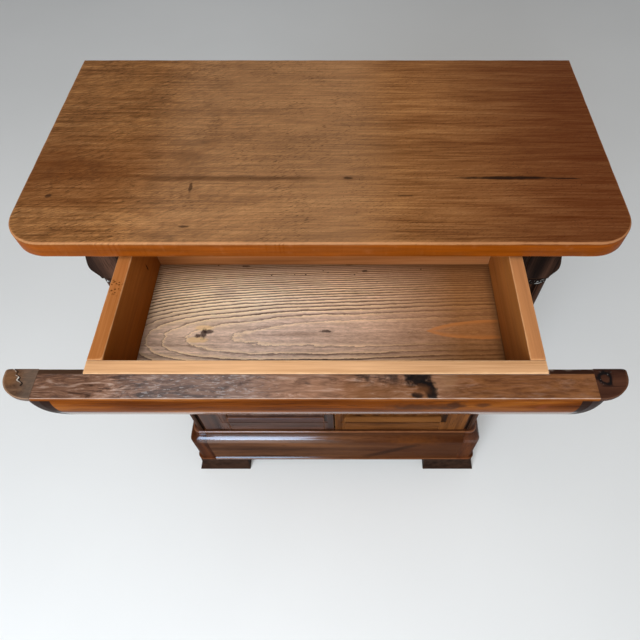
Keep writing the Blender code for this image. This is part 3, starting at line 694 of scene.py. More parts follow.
class Nodes:
    """Short calls that add nodes to one material, whose colour is laid on step by step."""

    def __init__(self, name, grain="X"):
        self.material = bpy.data.materials.new(name)
        self.material.use_nodes = True
        self.tree = self.material.node_tree
        self.shader = self.tree.nodes["Principled BSDF"].inputs
        self.colour = None
        self.place = self.add("ShaderNodeTexCoord").outputs["Object"]
        parts = self.add("ShaderNodeSeparateXYZ", {0: self.place}).outputs
        self.x, self.y, self.z = [Value(self, part) for part in parts]
        order = {"X": (self.x, self.y, self.z), "Y": (self.y, self.x, self.z), "Z": (self.z, self.x, self.y)}
        self.grain = self.add("ShaderNodeCombineXYZ", enumerate(order[grain])).outputs[0]
        self.across = order[grain][1]
        self.seed = self.value("ShaderNodeAttribute", output="Fac", attribute_name="seed")
        self.edge = self.value("ShaderNodeAttribute", output="Fac", attribute_name="edge")

    def put(self, socket, value):
        if isinstance(value, Value):
            value = value.socket
        if isinstance(value, bpy.types.NodeSocket):
            self.tree.links.new(value, socket)
        elif hasattr(socket.default_value, "__len__") and len(socket.default_value) == 4:
            socket.default_value = (*value[:3], 1.0)
        else:
            socket.default_value = value

    def add(self, kind, inputs=(), **settings):
        node = self.tree.nodes.new(kind)
        for name, value in settings.items():
            setattr(node, name, value)
        for key, value in dict(inputs).items():
            self.put(node.inputs[key], value)
        return node

    def value(self, kind, inputs=(), output=0, **settings):
        return Value(self, self.add(kind, inputs, **settings).outputs[output])

    def math(self, operation, *values):
        return self.value("ShaderNodeMath", enumerate(values), operation=operation)

    def vector(self, operation, *values):
        return self.add("ShaderNodeVectorMath", enumerate(values), operation=operation).outputs["Vector"]

    def noise(self, vector, detail=2.0, roughness=0.5, distortion=0.0):
        inputs = {"Vector": vector, "W": self.seed, "Scale": 1.0, "Detail": detail}
        inputs.update({"Roughness": roughness, "Distortion": distortion})
        return self.value("ShaderNodeTexNoise", inputs, noise_dimensions="4D")

    def fine(self, along, across, *settings):
        """Noise drawn out along the grain, with its two frequencies per metre."""
        return self.noise(self.vector("MULTIPLY", self.grain, (along, across, across)), *settings)

    def patches(self, frequency, detail=3, roughness=0.5):
        return self.noise(self.vector("MULTIPLY", self.place, (frequency,) * 3), detail, roughness)

    def cells(self, frequency):
        """Distance from the nearest of many scattered points."""
        return self.value("ShaderNodeTexVoronoi", {"Vector": self.place, "Scale": frequency}, "Distance")

    def spot(self, centre, radii, ragged=0.5, soft=0.3, frequency=120):
        """1 inside an uneven oval round the place, 0 outside it. Without a third number it has any height."""
        if len(centre) == 2:
            centre, radii = (*centre, 0.0), (*radii, ANYWHERE)
        offset = self.vector("DIVIDE", self.vector("SUBTRACT", self.place, centre), radii)
        length = self.value("ShaderNodeVectorMath", {0: offset}, "Value", operation="LENGTH")
        rough = 2 * ragged * self.patches(frequency) - ragged
        return (length + rough).steps(1 + soft, 1 - soft)

    def mix(self, share, one, two, way="MIX"):
        node = self.add("ShaderNodeMix", {0: share, 6: one, 7: two}, data_type="RGBA", blend_type=way)
        return node.outputs[2]

    def tone(self, colour, share):
        """The colour made darker or lighter all at once, by a factor that varies."""
        grey = self.add("ShaderNodeCombineXYZ", {0: share, 1: share, 2: share}).outputs[0]
        return self.mix(1.0, colour, grey, "MULTIPLY")

    def ramp(self, value, stops):
        stops = list(stops)
        node = self.add("ShaderNodeValToRGB", {0: value})
        elements = node.color_ramp.elements
        while len(elements) < len(stops):
            elements.new(0.5)
        for element, (position, colour) in zip(elements, stops):
            element.position = position
            element.color = (*colour, 1.0)
        return node.outputs[0]

    def stain(self, mask, colour, share=1.0):
        """Lays a colour over the one so far, where the mask is."""
        self.colour = self.mix(mask if share == 1.0 else mask * share, self.colour, colour)

    def shade(self, share):
        self.colour = self.tone(self.colour, share)

    def finish(self, roughness, height, strength, distance=0.0006):
        bump = self.add("ShaderNodeBump", {"Height": height, "Strength": strength, "Distance": distance})
        self.put(self.shader["Base Color"], self.colour)
        self.put(self.shader["Roughness"], roughness)
        self.put(self.shader["Normal"], bump.outputs[0])
        return self.material


def rub(n, worn, share):
    """Paler wood on the worn edges, unevenly."""
    n.stain((n.edge - 0.45 + 0.9 * n.patches(70)).steps(0.35, 0.85), worn, share)


def walnut(
    name, grain="X", gloss=0.45, spec=0.01, swirl=0.8, streak=1.0, fibre=0.25,
    pore=0.55, pore_size=(34, 560), marks=None, wear=0.6, polish=None,
):
    """Walnut: broad streaks, growth lines, fibres and dark pores, with paler worn edges."""
    *tones, worn = WOODS[name]
    n = Nodes(name + "_" + grain, grain)
    streaks = n.fine(2.2, 24, 4, 0.55, swirl)
    growth = n.math("SINE", 42.0 * n.fine(1.4, 7) + 210.0 * n.across)
    fibres = n.fine(14, 420, 2, 0.6)
    pores = n.fine(*pore_size, 1).steps(0.58, 0.7)
    figure = 0.5 + streak * (streaks - 0.5) + 0.05 * streak * growth + fibre * (fibres - 0.5)
    n.colour = n.ramp(figure, zip(WALNUT_STOPS, tones))
    n.shade(n.patches(4).scale(0.72, 1.28))
    n.stain(pores, [0.35 * part for part in tones[0]], pore)
    if marks:
        marks(n)
    rub(n, worn, wear)
    n.shader["Specular IOR Level"].default_value = spec
    if polish:
        n.put(n.shader["Coat Weight"], polish(n))
        n.shader["Coat Roughness"].default_value = COAT_ROUGHNESS
        n.shader["Coat IOR"].default_value = COAT_IOR
    roughness = gloss - 0.15 + 0.1 * fibres + 0.2 * n.patches(9)
    return n.finish(roughness, 0.4 * fibres - 0.8 * pores, 0.25)


def pale_wood(name, grain="X", marks=None, spec=0.1):
    """Bare pale wood with fine straight fibres and soft broad streaks."""
    *tones, worn = WOODS[name]
    n = Nodes(name + "_" + grain, grain)
    streaks = n.fine(2, 34, 4, 0.6, 0.4)
    fibres = n.fine(9, 520, 3, 0.65)
    lines = n.fine(3, 150).steps(0.52, 0.74)
    n.colour = n.ramp(streaks + 0.5 * (fibres - 0.5), zip(PALE_STOPS, tones))
    n.stain(lines, tones[0], 0.45)
    n.shade(n.patches(6).scale(0.72, 1.28))
    if marks:
        marks(n)
    rub(n, worn, 0.5)
    n.shader["Specular IOR Level"].default_value = spec
    return n.finish(fibres.scale(BARE_ROUGHNESS - 0.1, BARE_ROUGHNESS + 0.15), fibres - lines, 0.3)


def top_marks(n):
    """Slanting curl, a darker right half (painted shade), a paler band (painted sheen), stains, a filled
    crack, fine ticks and the orange edge.
    """
    lean = n.add("ShaderNodeMapping", {"Vector": n.place, "Rotation": (0.0, 0.0, CURL_LEAN)}).outputs[0]
    curl = n.noise(n.vector("MULTIPLY", lean, (60.0, 420.0, 1.0)), 3.0, 0.6, 0.6)
    n.shade(1.0 + (curl - 0.5) * n.x.steps(0.1, -0.25, 0.7, 2.3))
    # Painted shade: the right half is made darker.
    n.stain(n.x.steps(0.02, 0.4), (0.082, 0.0125, 0.0018), 0.72)
    left = n.x.steps(-0.2, -0.4) * n.patches(7).steps(0.35, 0.65)
    n.stain(left, (0.09, 0.032, 0.01), 0.34)
    # Painted sheen: a paler band left of the middle.
    n.stain(n.x.band(-0.28, -0.18, 0.02, 0.12), (0.47, 0.285, 0.165), 0.22)
    n.shade(n.x.steps(0.12, -0.08, 1.0, 0.9))
    n.stain(n.spot((-0.35, 0.03), (0.11, 0.055), 0.6, 0.9, 16), (0.105, 0.027, 0.004), 0.68)
    crack = n.spot((0.256, 0.0145), (0.064, 0.003), 0.6, 0.4, 60)
    crack_tail = n.spot((0.325, 0.013), (0.024, 0.001), 0.6, 0.5, 60)
    n.stain(crack | crack_tail, (0.01, 0.005, 0.003), 0.92)
    n.stain(n.spot((-0.1, 0.013), (0.16, 0.004), 0.9, 0.7, 30), (0.06, 0.022, 0.008), 0.6)
    for centre, radii in (
        ((0.036, 0.014), (0.0065, 0.0022)),
        ((-0.175, -0.005), (0.0025, 0.008)),
        ((-0.172, -0.075), (0.006, 0.0018)),
        ((0.11, -0.02), (0.012, 0.0012)),
        ((-0.36, -0.02), (0.004, 0.003)),
    ):
        n.stain(n.spot(centre, radii, 0.9), (0.026, 0.011, 0.006), 0.75)
    nicks = n.patches(420, 1).steps(0.7, 0.74) * n.patches(11, 2).steps(0.45, 0.6)
    n.stain(nicks, (0.03, 0.012, 0.006), 0.8)
    mottle = n.x.steps(0.05, -0.3) * n.patches(26, 4, 0.65).steps(0.48, 0.66)
    n.stain(mottle, (0.075, 0.026, 0.008), 0.32)
    ticks = n.noise(n.vector("MULTIPLY", lean, (110.0, 760.0, 1.0)), 1).steps(0.57, 0.66)
    ticks *= n.patches(16).steps(0.42, 0.62) * n.x.steps(0.2, -0.1, 0.25, 0.66)
    n.stain(ticks, (0.034, 0.013, 0.005))
    orange = n.tone((0.215, 0.045, 0.0005), n.fine(9, 200, 4, 0.65).scale(0.3, 1.7))
    n.stain(n.z.steps(TOP_Z - 0.002, TOP_Z - 0.0045), orange, 0.9)


def facing_marks(n):
    """Greyed, dirty bare walnut, redder at the right, with a black knot and dark strips behind the ends."""
    stops = ((0.38, (0.022, 0.01, 0.006)), (0.46, (0.145, 0.072, 0.045)))
    stops += ((0.54, (0.275, 0.145, 0.092)), (0.64, (0.5, 0.35, 0.28)))
    n.stain(0.9, n.ramp(n.fine(22, 120, 6, 0.7, 1.8), stops))
    warm = n.x.steps(-0.06, 0.0) * n.patches(30).steps(0.4, 0.6)
    n.stain(warm, (0.33, 0.15, 0.075), 0.4)
    n.stain(n.x.steps(-0.22, -0.27), (0.085, 0.038, 0.022), 0.5)
    n.stain(n.x.band(-0.1, -0.06, 0.0, 0.04), (0.36, 0.205, 0.14), 0.3)
    stops = ((0.36, (0.075, 0.0235, 0.0068)), (0.64, (0.226, 0.087, 0.027)))
    right = (n.x + 0.05 * n.patches(50)).steps(0.135, 0.205)
    n.stain(right, n.ramp(n.fine(20, 130, 6, 0.7, 1.6), stops), 0.82)
    grey = n.x.band(-0.25, -0.17, -0.1, -0.02)
    n.stain(grey, (0.165, 0.148, 0.152), 0.42)
    n.stain(grey * n.fine(110, 480, 3, 0.6, 1.2).steps(0.55, 0.63), (0.4, 0.37, 0.37), 0.6)
    dirt = n.fine(14, 46, 4, 0.6, 3).steps(0.54, 0.68) * n.x.steps(0.16, 0.12)
    n.stain(dirt, (0.052, 0.034, 0.03), 0.62)
    brown = n.x.band(0.01, 0.06, 0.12, 0.14) * n.y.steps(-0.27, -0.284)
    n.stain(brown, (0.175, 0.068, 0.022), 0.62)
    smoke = n.x.band(0.03, 0.06, 0.11, 0.135) * n.y.steps(-0.288, -0.27)
    n.stain(smoke * n.patches(95, 4, 0.6).steps(0.4, 0.62), (0.022, 0.016, 0.014), 0.85)
    for place, size, ink in (
        ((0.115, -0.273), (0.014, 0.009), (0.006, 0.005, 0.005)),
        ((0.1235, -0.2815), (0.009, 0.008), (0.006, 0.005, 0.005)),
        ((0.1275, -0.289), (0.0058, 0.0095), (0.006, 0.005, 0.005)),
        ((0.112, -0.2925), (0.006, 0.003), (0.012, 0.008, 0.007)),
    ):
        n.stain(n.spot((*place, DRAWER_Z), (*size, 0.02), 0.9, 0.4, 150), ink, 0.95)
    eye = n.spot((0.1172, -0.286, DRAWER_Z), (0.0075, 0.005, 0.02), 0.9, 0.7, 150)
    n.stain(eye, (0.15, 0.058, 0.022), 0.55)
    pale = n.spot((0.146, -0.275, DRAWER_Z), (0.012, 0.012, 0.02), 0.9, 0.7, 130)
    n.stain(pale, (0.26, 0.15, 0.08), 0.35)
    strip = n.y.steps(FACING_BACK - 0.0008, FACING_BACK) * abs(n.x).steps(0.255, 0.26)
    strip_ink = n.mix(n.x.steps(-0.1, 0.1), (0.052, 0.026, 0.015), (0.022, 0.008, 0.005))
    n.stain(strip, strip_ink, 0.95)


def veneer_marks(n):
    """Dark figure near the middle of the veneer, a red knot to its right and black ends."""
    for x, drop, size, ink in (
        (0.158, 0.031, (0.01, 0.01), (0.03, 0.009, 0.004)),
        (0.12, 0.036, (0.036, 0.009), (0.05, 0.016, 0.006)),
        (0.19, 0.03, (0.008, 0.006), (0.06, 0.018, 0.006)),
        (0.26, 0.036, (0.006, 0.01), (0.14, 0.034, 0.01)),
    ):
        mark = n.spot((x, 0.0, DRAWER_Z - drop), (size[0], ANYWHERE, size[1]), 0.9, 0.6, 90)
        n.stain(mark, ink, 0.85)
    lean = abs(n.x) + 0.12 * (n.z - DRAWER_Z)
    ends = lean.steps(0.2975, 0.2985) * n.z.steps(DRAWER_Z - 0.012, DRAWER_Z - 0.015)
    n.stain(ends, (0.02, 0.009, 0.006))


def veneer_polish(n):
    """The polish is left low on the belly, where nothing rubs it."""
    return 0.7 * n.z.steps(DRAWER_Z - 0.054, DRAWER_Z - 0.072)


def paint_shade_below(n, ink):
    """Painted shade below the top of an end block, where its cove lies in shadow."""
    n.stain(n.z.steps(DRAWER_Z - 0.004, DRAWER_Z - 0.012), ink)


def left_block_marks(n):
    """A wavy split with a white filling in the left end block."""
    stops = ((0.34, (0.028, 0.014, 0.008)), (0.64, (0.172, 0.095, 0.056)))
    n.stain(0.75, n.ramp(n.fine(50, 110, 6, 0.7, 1.5), stops))
    grey = (n.x + 0.02 * n.patches(60)).steps(-0.322, -0.31)
    n.stain(grey, (0.135, 0.105, 0.085), 0.45)
    path = -0.64 * n.y - 0.5058 + 0.0012 * n.math("SINE", 900.0 * n.y) + 0.0024 * n.patches(260, 2)
    away = n.x - path
    white = abs(away + 0.0017).steps(0.0013, 0.0004) * n.y.steps(-0.279, -0.273)
    n.stain(white * n.patches(330, 2).steps(0.4, 0.55), (0.55, 0.52, 0.48))
    gap = abs(away).steps(0.0014, 0.0006) * n.y.steps(-0.2825, -0.28)
    n.stain(gap, (0.008, 0.006, 0.005))
    n.stain(n.spot((-0.341, -0.272), (0.007, 0.008), 0.6, 0.6), (0.2, 0.09, 0.036), 0.5)
    paint_shade_below(n, (0.022, 0.01, 0.006))


def right_block_marks(n):
    """A black ring-shaped knot in the right end block."""
    outer = n.spot((0.3228, -0.271, DRAWER_Z), (0.0092, 0.01, 0.02), 0.9)
    inner = n.spot((0.3225, -0.272, DRAWER_Z), (0.0042, 0.0046, 0.02), 0.9)
    ring = outer - 0.9 * inner
    n.stain(ring, (0.006, 0.005, 0.005))
    n.stain(ring * n.patches(420, 1).steps(0.62, 0.7), (0.2, 0.18, 0.17), 0.5)
    paint_shade_below(n, (0.02, 0.01, 0.008))


def side_marks(n):
    """Worm holes in the top of the left side, scuffs low on the right one and dark inner faces with painted
    light and shade.
    """
    zone = n.spot((-0.2535, -0.1447, DRAWER_Z), (0.009, 0.013, 0.006), 0.4)
    n.stain(zone * n.cells(250).steps(0.4, 0.26), (0.02, 0.009, 0.005))
    right = n.x.steps(-0.1, 0.1)
    n.stain(n.x.steps(0.1, -0.1), (0.34, 0.105, 0.016), 0.35)
    n.stain(right, (0.52, 0.25, 0.11), 0.45)
    # The inner faces carry painted light and shade: the right one lighter, both lighter towards the rear top
    # and darker towards the front bottom.
    inner_tone_and_light = n.mix(right, (0.235, 0.064, 0.0045), (0.3, 0.105, 0.023))
    lit = n.y + 1.4 * (n.z - DRAWER_Z) + 0.06 * n.patches(24)
    inner_tone_and_light = n.mix(0.75 * lit.steps(-0.24, -0.06), inner_tone_and_light, (0.46, 0.17, 0.036))
    inner_tone_and_light = n.mix(0.55 * lit.steps(-0.23, -0.36), inner_tone_and_light, (0.095, 0.022, 0.0018))
    inner_tone_and_light = n.tone(inner_tone_and_light, n.fine(5, 90, 5, 0.65).scale(0.45, 1.55))
    n.stain(n.z.steps(DRAWER_Z - 0.0005, DRAWER_Z - 0.003), inner_tone_and_light, 0.9)
    scuff = n.spot((0.244, -0.232, DRAWER_Z - 0.066), (0.012, 0.02, 0.022), 0.4)
    n.stain(scuff * n.fine(120, 700, 1).steps(0.6, 0.66), (0.6, 0.36, 0.18))
    slot = n.spot((-0.244, -0.075, DRAWER_Z - 0.047), (0.004, 0.0012, 0.0065), 0.3)
    n.stain(slot, (0.01, 0.005, 0.003))


def inner_front_marks(n):
    """The faces below the board's top edge are darker."""
    n.stain(n.z.steps(DRAWER_Z - 0.0005, DRAWER_Z - 0.003), (0.24, 0.085, 0.016), 0.8)


def drawer_bottom_wood():
    """Softwood sawn flat: each growth ring fades from a pale edge to a dark line. The rings point left. Over
    it lie painted light from the left, a painted sheen and painted shade at the rear and edges.
    """
    n = Nodes("bottom_softwood")
    offset = n.y - (RING_AXIS[0] * n.x + RING_AXIS[1])
    far = abs(offset)
    fall = n.math("EXPONENT", (n.x + RING_START) * (-1 / RING_FALL))
    depth = RING_DROP * fall + (RING_DEPTH - RING_DROP)
    ring = n.math("SQRT", offset * offset + depth * depth)
    width = RING_STEP / (far / ring | RING_MIN_SLOPE)
    ring += 0.0034 * (n.fine(5, 16) - 0.5) + 0.0021 * (n.fine(44, 150, 5, 0.65) - 0.5)
    count = ring / RING_STEP
    each = n.value("ShaderNodeTexWhiteNoise", {"W": n.math("FLOOR", count)}, noise_dimensions="1D")
    share = n.math("FRACT", count)
    line = (share * width).steps(0.0036, 0.0006)
    edge = ((1.0 - share) * width).steps(0.0075, -0.001)
    strong = each.scale(0.7, 1.0) * far.steps(0.012, 0.05, 0.4, 1.0)
    fade = n.x.steps(0.02, 0.22, 1.0, 0.55)
    fibres = n.fine(22, 560, 3, 0.65)
    specks = n.fine(150, 520, 2, 0.7)
    stops = ((0.32, (0.39, 0.268, 0.184)), (0.68, (0.75, 0.55, 0.395)))
    n.colour = n.ramp(n.fine(5, 130, 4, 0.65), stops)
    n.shade(fibres.scale(0.5, 1.5) * specks.scale(0.4, 1.6))
    n.stain(edge * edge * fade * each.scale(0.55, 0.95), (1.0, 0.74, 0.42))
    n.stain(line * strong * fade, (0.04, 0.016, 0.007))
    n.shade(n.patches(6, 4, 0.6).scale(0.55, 1.45))
    # Painted shade with dirt: darker towards the rear, under the top, and towards the right.
    n.stain(n.y.steps(-0.1, -0.04) | n.x.steps(0.0, 0.25), (0.3, 0.14, 0.052), 0.42)
    # Painted sheen: a paler patch left of the middle.
    pale = n.spot((-0.165, -0.1), (0.085, 0.036), 0.5, 0.9, 30)
    n.stain(pale * (1.0 - line), (1.0, 0.78, 0.48), 0.55)
    # A bluish gain, brightest left of the middle and dark at the right: part the wood's tone, part painted
    # light from the left.
    stops = ((0.1, (0.54, 0.55, 0.61)), (0.34, (0.62, 0.66, 0.8)))
    stops += ((0.56, (0.55, 0.53, 0.58)), (0.88, (0.29, 0.2, 0.125)))
    n.colour = n.vector("MULTIPLY", n.colour, n.ramp(2.0 * n.x + 0.5, stops))
    n.shade(2.0)
    tongue = 1.0 - n.math("EXPONENT", -34.0 * (n.x - 0.142 | 0.0))
    inside = 0.0165 * tongue - far + 0.006 * (n.fine(40, 260, 3) - 0.5)
    orange = inside.steps(-0.001, 0.0012) * inside.steps(0.002, 0.008, 1.0, 0.3)
    n.stain(orange * n.x.steps(0.138, 0.146), (0.6, 0.215, 0.055), 0.62)
    for centre, radii in (((-0.1622, -0.151), (0.0125, 0.004)), ((-0.1677, -0.1702), (0.0135, 0.0045))):
        n.stain(n.spot(centre, radii, 0.4, 0.3, 120), (0.92, 0.64, 0.34), 0.7)
    for centre, radii in (
        ((-0.1615, -0.16), (0.0042, 0.008)),
        ((-0.156, -0.1575), (0.007, 0.0036)),
        ((-0.1675, -0.164), (0.0055, 0.0028)),
        ((0.0058, -0.1563), (0.0075, 0.002)),
        ((-0.1156, -0.043), (0.006, 0.0018)),
        ((0.0382, -0.04), (0.005, 0.0014)),
        ((0.0603, -0.0515), (0.004, 0.0016)),
    ):
        knot = n.spot((*centre, BOTTOM_Z), (*radii, 0.02), 1.1, 0.4, 260)
        n.stain(knot, (0.04, 0.022, 0.02), 0.85)
    n.stain(n.spot((-0.1408, -0.0907), (0.012, 0.01), 0.9, 0.8, 90), (0.2, 0.13, 0.13), 0.35)
    holes = n.cells(60).steps(0.085, 0.06) * n.y.steps(-0.085, -0.06)
    n.stain(holes, (0.02, 0.012, 0.008))
    # Painted shade with dirt where the bottom meets the sides, front and back.
    rim = abs(n.x).steps(0.23, 0.2445) | n.y.steps(-0.056, -0.038) | n.y.steps(-0.24, -0.249)
    n.stain(rim, (0.1, 0.046, 0.018), 0.6)
    n.shader["Specular IOR Level"].default_value = 0.1
    return n.finish(fibres.scale(0.45, 0.75), 0.8 * line - 0.6 * fibres, 0.4)


def deck_marks(n):
    """White chips at both ends of the board's dark front edge."""
    right = n.spot((0.3275, -0.043, DECK_Z + 0.004), (0.017, 0.012, 0.007), 0.3)
    left = n.spot((-0.337, -0.043, DECK_Z + 0.004), (0.004, 0.012, 0.005), 0.3)
    n.stain((left | right) * n.patches(260, 2).steps(0.56, 0.62), (0.62, 0.6, 0.56))


def panel_marks(word, n):
    """The doors differ near the floor, where their woods carry painted light and shade, and are nearly alike
    higher up.
    """
    n.stain(n.z.steps(*DOOR_FADE), n.vector("MULTIPLY", n.colour, DOOR_GAIN[word]))


def upright_marks(word, width, n):
    """Painted shade in the upright moulding at the right of the panel."""
    low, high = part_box(word + "_door_panel")
    near, reach = 0.9 * width, 1.1 * width
    panel_marks(word, n)
    painted_shade = n.x.band(high.x - 0.0004, high.x + 0.0004, high.x + 0.7 * width, high.x + width)
    painted_shade *= n.z.band(low.z - reach, low.z - near, high.z + near, high.z + reach)
    n.stain(painted_shade, (0.006, 0.0028, 0.0018), 0.88)


def level_marks(word, tone, n):
    """The moulding under the panel carries a painted highlight, as if lit from above, with a dark line at its
    foot.
    """
    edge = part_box(word + "_door_panel")[0].z
    foot = edge - MOULD_WIDTH
    panel_marks(word, n)
    painted_highlight = n.z.band(foot, edge - 0.8 * MOULD_WIDTH, edge + 0.02, edge + 0.04)
    n.stain(painted_highlight * n.fine(6, 60, 3).scale(0.35, 1.0), tone, 0.75)
    n.stain(n.z.band(foot - 0.004, foot - 0.0015, foot, foot + 0.0015), (0.012, 0.005, 0.002), 0.35)


def post_marks(n):
    """Painted shade in the groove beside the doors."""
    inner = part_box("front_post_right")[0].x
    painted_shade = (abs(n.x) - inner).steps(0.012, 0.008) * n.y.steps(-0.03, -0.036)
    n.stain(painted_shade, (0.006, 0.003, 0.002), 0.9)


def plinth_polish(n):
    """The polish is left on the round shoulder and on the lip, and worn off towards the right."""
    shoulder = n.z.band(TORUS_TOP - 0.026, TORUS_TOP - 0.014, TORUS_TOP - 0.001, TORUS_TOP)
    shoulder |= n.z.steps(PLINTH_HIGH - 0.0045, PLINTH_HIGH - 0.003)
    lip = 0.6 * n.z.steps(PLINTH_LOW + 0.018, PLINTH_LOW + 0.012)
    return (shoulder | lip) * (n.x + 0.2 * n.patches(9)).steps(0.16, -0.06)


def corner_polish(n):
    """The left corner block is polished as the front is, the right one on its outer round only."""
    outer = n.x.steps(-0.356, -0.335) | n.x.steps(0.348, 0.362)
    outer *= n.x.steps(0.1, 0.0) | n.x.steps(0.3, 0.36)
    outer *= n.x.steps(0.0, 0.1, 1.0, 0.6)
    return outer * n.z.steps(PLINTH_HIGH - 0.044, PLINTH_HIGH - 0.03)


def plinth_marks(n):
    """Darker, redder wood towards the right, a dark slanting streak, painted shade with dirt on the flat and
    a warm patch.
    """
    n.stain(n.x.steps(-0.1, 0.22), (0.046, 0.01, 0.0015), 0.6)
    slant = n.z - 0.67 * n.x + 0.03 * n.patches(14)
    streak = slant.band(0.026, 0.042, 0.05, 0.066) * n.x.band(0.04, 0.12, 0.22, 0.25)
    n.stain(streak, (0.016, 0.006, 0.003), 0.62)
    # Painted shade, with dirt, on the fillet's face between the lip and the round.
    dirt = n.z.band(TORUS_TOP - 0.006, TORUS_TOP - 0.001, PLINTH_HIGH - 0.006, PLINTH_HIGH - 0.003)
    n.stain(dirt * n.x.steps(0.1, -0.1, 0.15, 0.5), (0.02, 0.01, 0.007))
    glow = n.spot((0.195, -0.06, 0.186), (0.055, 0.06, 0.014), 1.2, 0.9, 90)
    n.stain(glow, (0.14, 0.04, 0.007), 0.5)


def metal(name, dark, light, tarnish, rough):
    """Old metal: brighter on worn edges, with tarnish in patches."""
    n = Nodes(name)
    cloud = n.patches(90, 4, 0.6)
    n.colour = n.ramp(cloud, ((0.35, dark), (0.62, light)))
    n.stain(n.patches(40).steps(0.5, 0.68), tarnish, 0.6)
    n.stain(n.edge, light, 0.5)
    n.shader["Metallic"].default_value = 1.0
    return n.finish(cloud.scale(rough - 0.1, rough + 0.2), n.patches(900, 2), 0.2, 0.0003)


def floor_material():
    """Pale as it is seen, and duller in the light that it throws back, as a carpet is."""
    n = Nodes("pale_floor")
    cloud = n.patches(1.3)
    pale = n.ramp(cloud, ((0.3, (0.8, 0.8, 0.795)), (0.7, (0.84, 0.84, 0.835))))
    rays = n.add("ShaderNodeLightPath").outputs
    seen = Value(n, rays["Is Camera Ray"]) | Value(n, rays["Is Glossy Ray"])
    seen |= Value(n, rays["Is Transmission Ray"])
    n.colour = n.mix(seen, (0.42, 0.43, 0.45), pale)
    return n.finish(cloud.scale(0.75, 0.9), n.patches(60), 0.05)


# ------------------------------------------------------------- building

# Each wood's dark, middle and light tones, and the tone of its worn edges
RED_WORN = (0.24, 0.09, 0.032)
ORANGE_WORN = (0.28, 0.11, 0.035)
DARK = ((0.0053, 0.0021, 0.0011), (0.0154, 0.0065, 0.0035), (0.03, 0.0128, 0.0075))
WOODS = {
    "polished": ((0.03, 0.0085, 0.0028), (0.1, 0.03, 0.0085), (0.19, 0.062, 0.017), RED_WORN),
    # The left door's woods are painted darker and bluer, as in shade, and the right door's lighter and more
    # golden, as lit.
    "left_door": ((0.02, 0.007, 0.0042), (0.06, 0.0235, 0.0135), (0.106, 0.043, 0.0245), RED_WORN),
    "left_panel": ((0.014, 0.0052, 0.0034), (0.042, 0.018, 0.0112), (0.078, 0.034, 0.0205), RED_WORN),
    "right_door": ((0.034, 0.01, 0.0026), (0.108, 0.035, 0.0082), (0.192, 0.066, 0.016), ORANGE_WORN),
    "right_panel": ((0.018, 0.005, 0.0012), (0.061, 0.019, 0.0037), (0.111, 0.037, 0.0082), ORANGE_WORN),
    "post": ((0.018, 0.006, 0.0026), (0.052, 0.0185, 0.008), (0.095, 0.035, 0.015), (0.15, 0.06, 0.028)),
    "plinth": ((0.026, 0.009, 0.004), (0.088, 0.034, 0.015), (0.15, 0.058, 0.023), (0.26, 0.1, 0.04)),
    "corner": ((0.022, 0.006, 0.0022), (0.06, 0.017, 0.006), (0.11, 0.032, 0.01), (0.2, 0.07, 0.028)),
    "top": ((0.112, 0.04, 0.011), (0.268, 0.115, 0.038), (0.425, 0.205, 0.078), (0.5, 0.23, 0.1)),
    "bare": ((0.075, 0.045, 0.032), (0.19, 0.11, 0.078), (0.29, 0.185, 0.14), (0.46, 0.36, 0.31)),
    "veneer": ((0.042, 0.008, 0.0009), (0.14, 0.034, 0.004), (0.3, 0.094, 0.014), (0.4, 0.21, 0.11)),
    "left_block": ((0.05, 0.024, 0.013), (0.135, 0.07, 0.04), (0.22, 0.115, 0.066), (0.3, 0.18, 0.11)),
    "right_block": ((0.017, 0.007, 0.005), (0.05, 0.019, 0.011), (0.086, 0.034, 0.019), (0.12, 0.055, 0.03)),
    "foot": (*DARK, (0.06, 0.028, 0.016)),
    "deck": (*DARK, (0.07, 0.035, 0.02)),
    # Nearly black, for the drawer guides and, as painted shade, the friezes' ends.
    "grime_and_shade": ((0.006, 0.003, 0.002), (0.018, 0.0085, 0.0055), (0.07, 0.032, 0.019), (0.06, 0.028, 0.017)),
    "honey": ((0.4, 0.195, 0.08), (0.61, 0.335, 0.165), (0.78, 0.46, 0.25), (0.86, 0.58, 0.34)),
    "orange": ((0.235, 0.076, 0.02), (0.395, 0.148, 0.047), (0.54, 0.232, 0.086), (0.66, 0.36, 0.17)),
    "inner": ((0.13, 0.066, 0.028), (0.27, 0.155, 0.075), (0.38, 0.235, 0.125), (0.42, 0.28, 0.16)),
}


def door_woods(word, spec, painted_highlight, right_mould):
    """The woods of one door: its uprights, its rails and its panel."""
    rows = (
        ("_door", "Z", partial(upright_marks, word, right_mould)),
        ("_door", "X", partial(level_marks, word, painted_highlight)),
        ("_panel", "Z", partial(panel_marks, word)),
    )
    return [walnut(word + name, grain, 0.3, spec, wear=0.3, marks=marks) for name, grain, marks in rows]


polished = {axis: walnut("polished", axis, 0.3, 0.05) for axis in "YZ"}
inner_wood = {axis: pale_wood("inner", axis) for axis in "XYZ"}
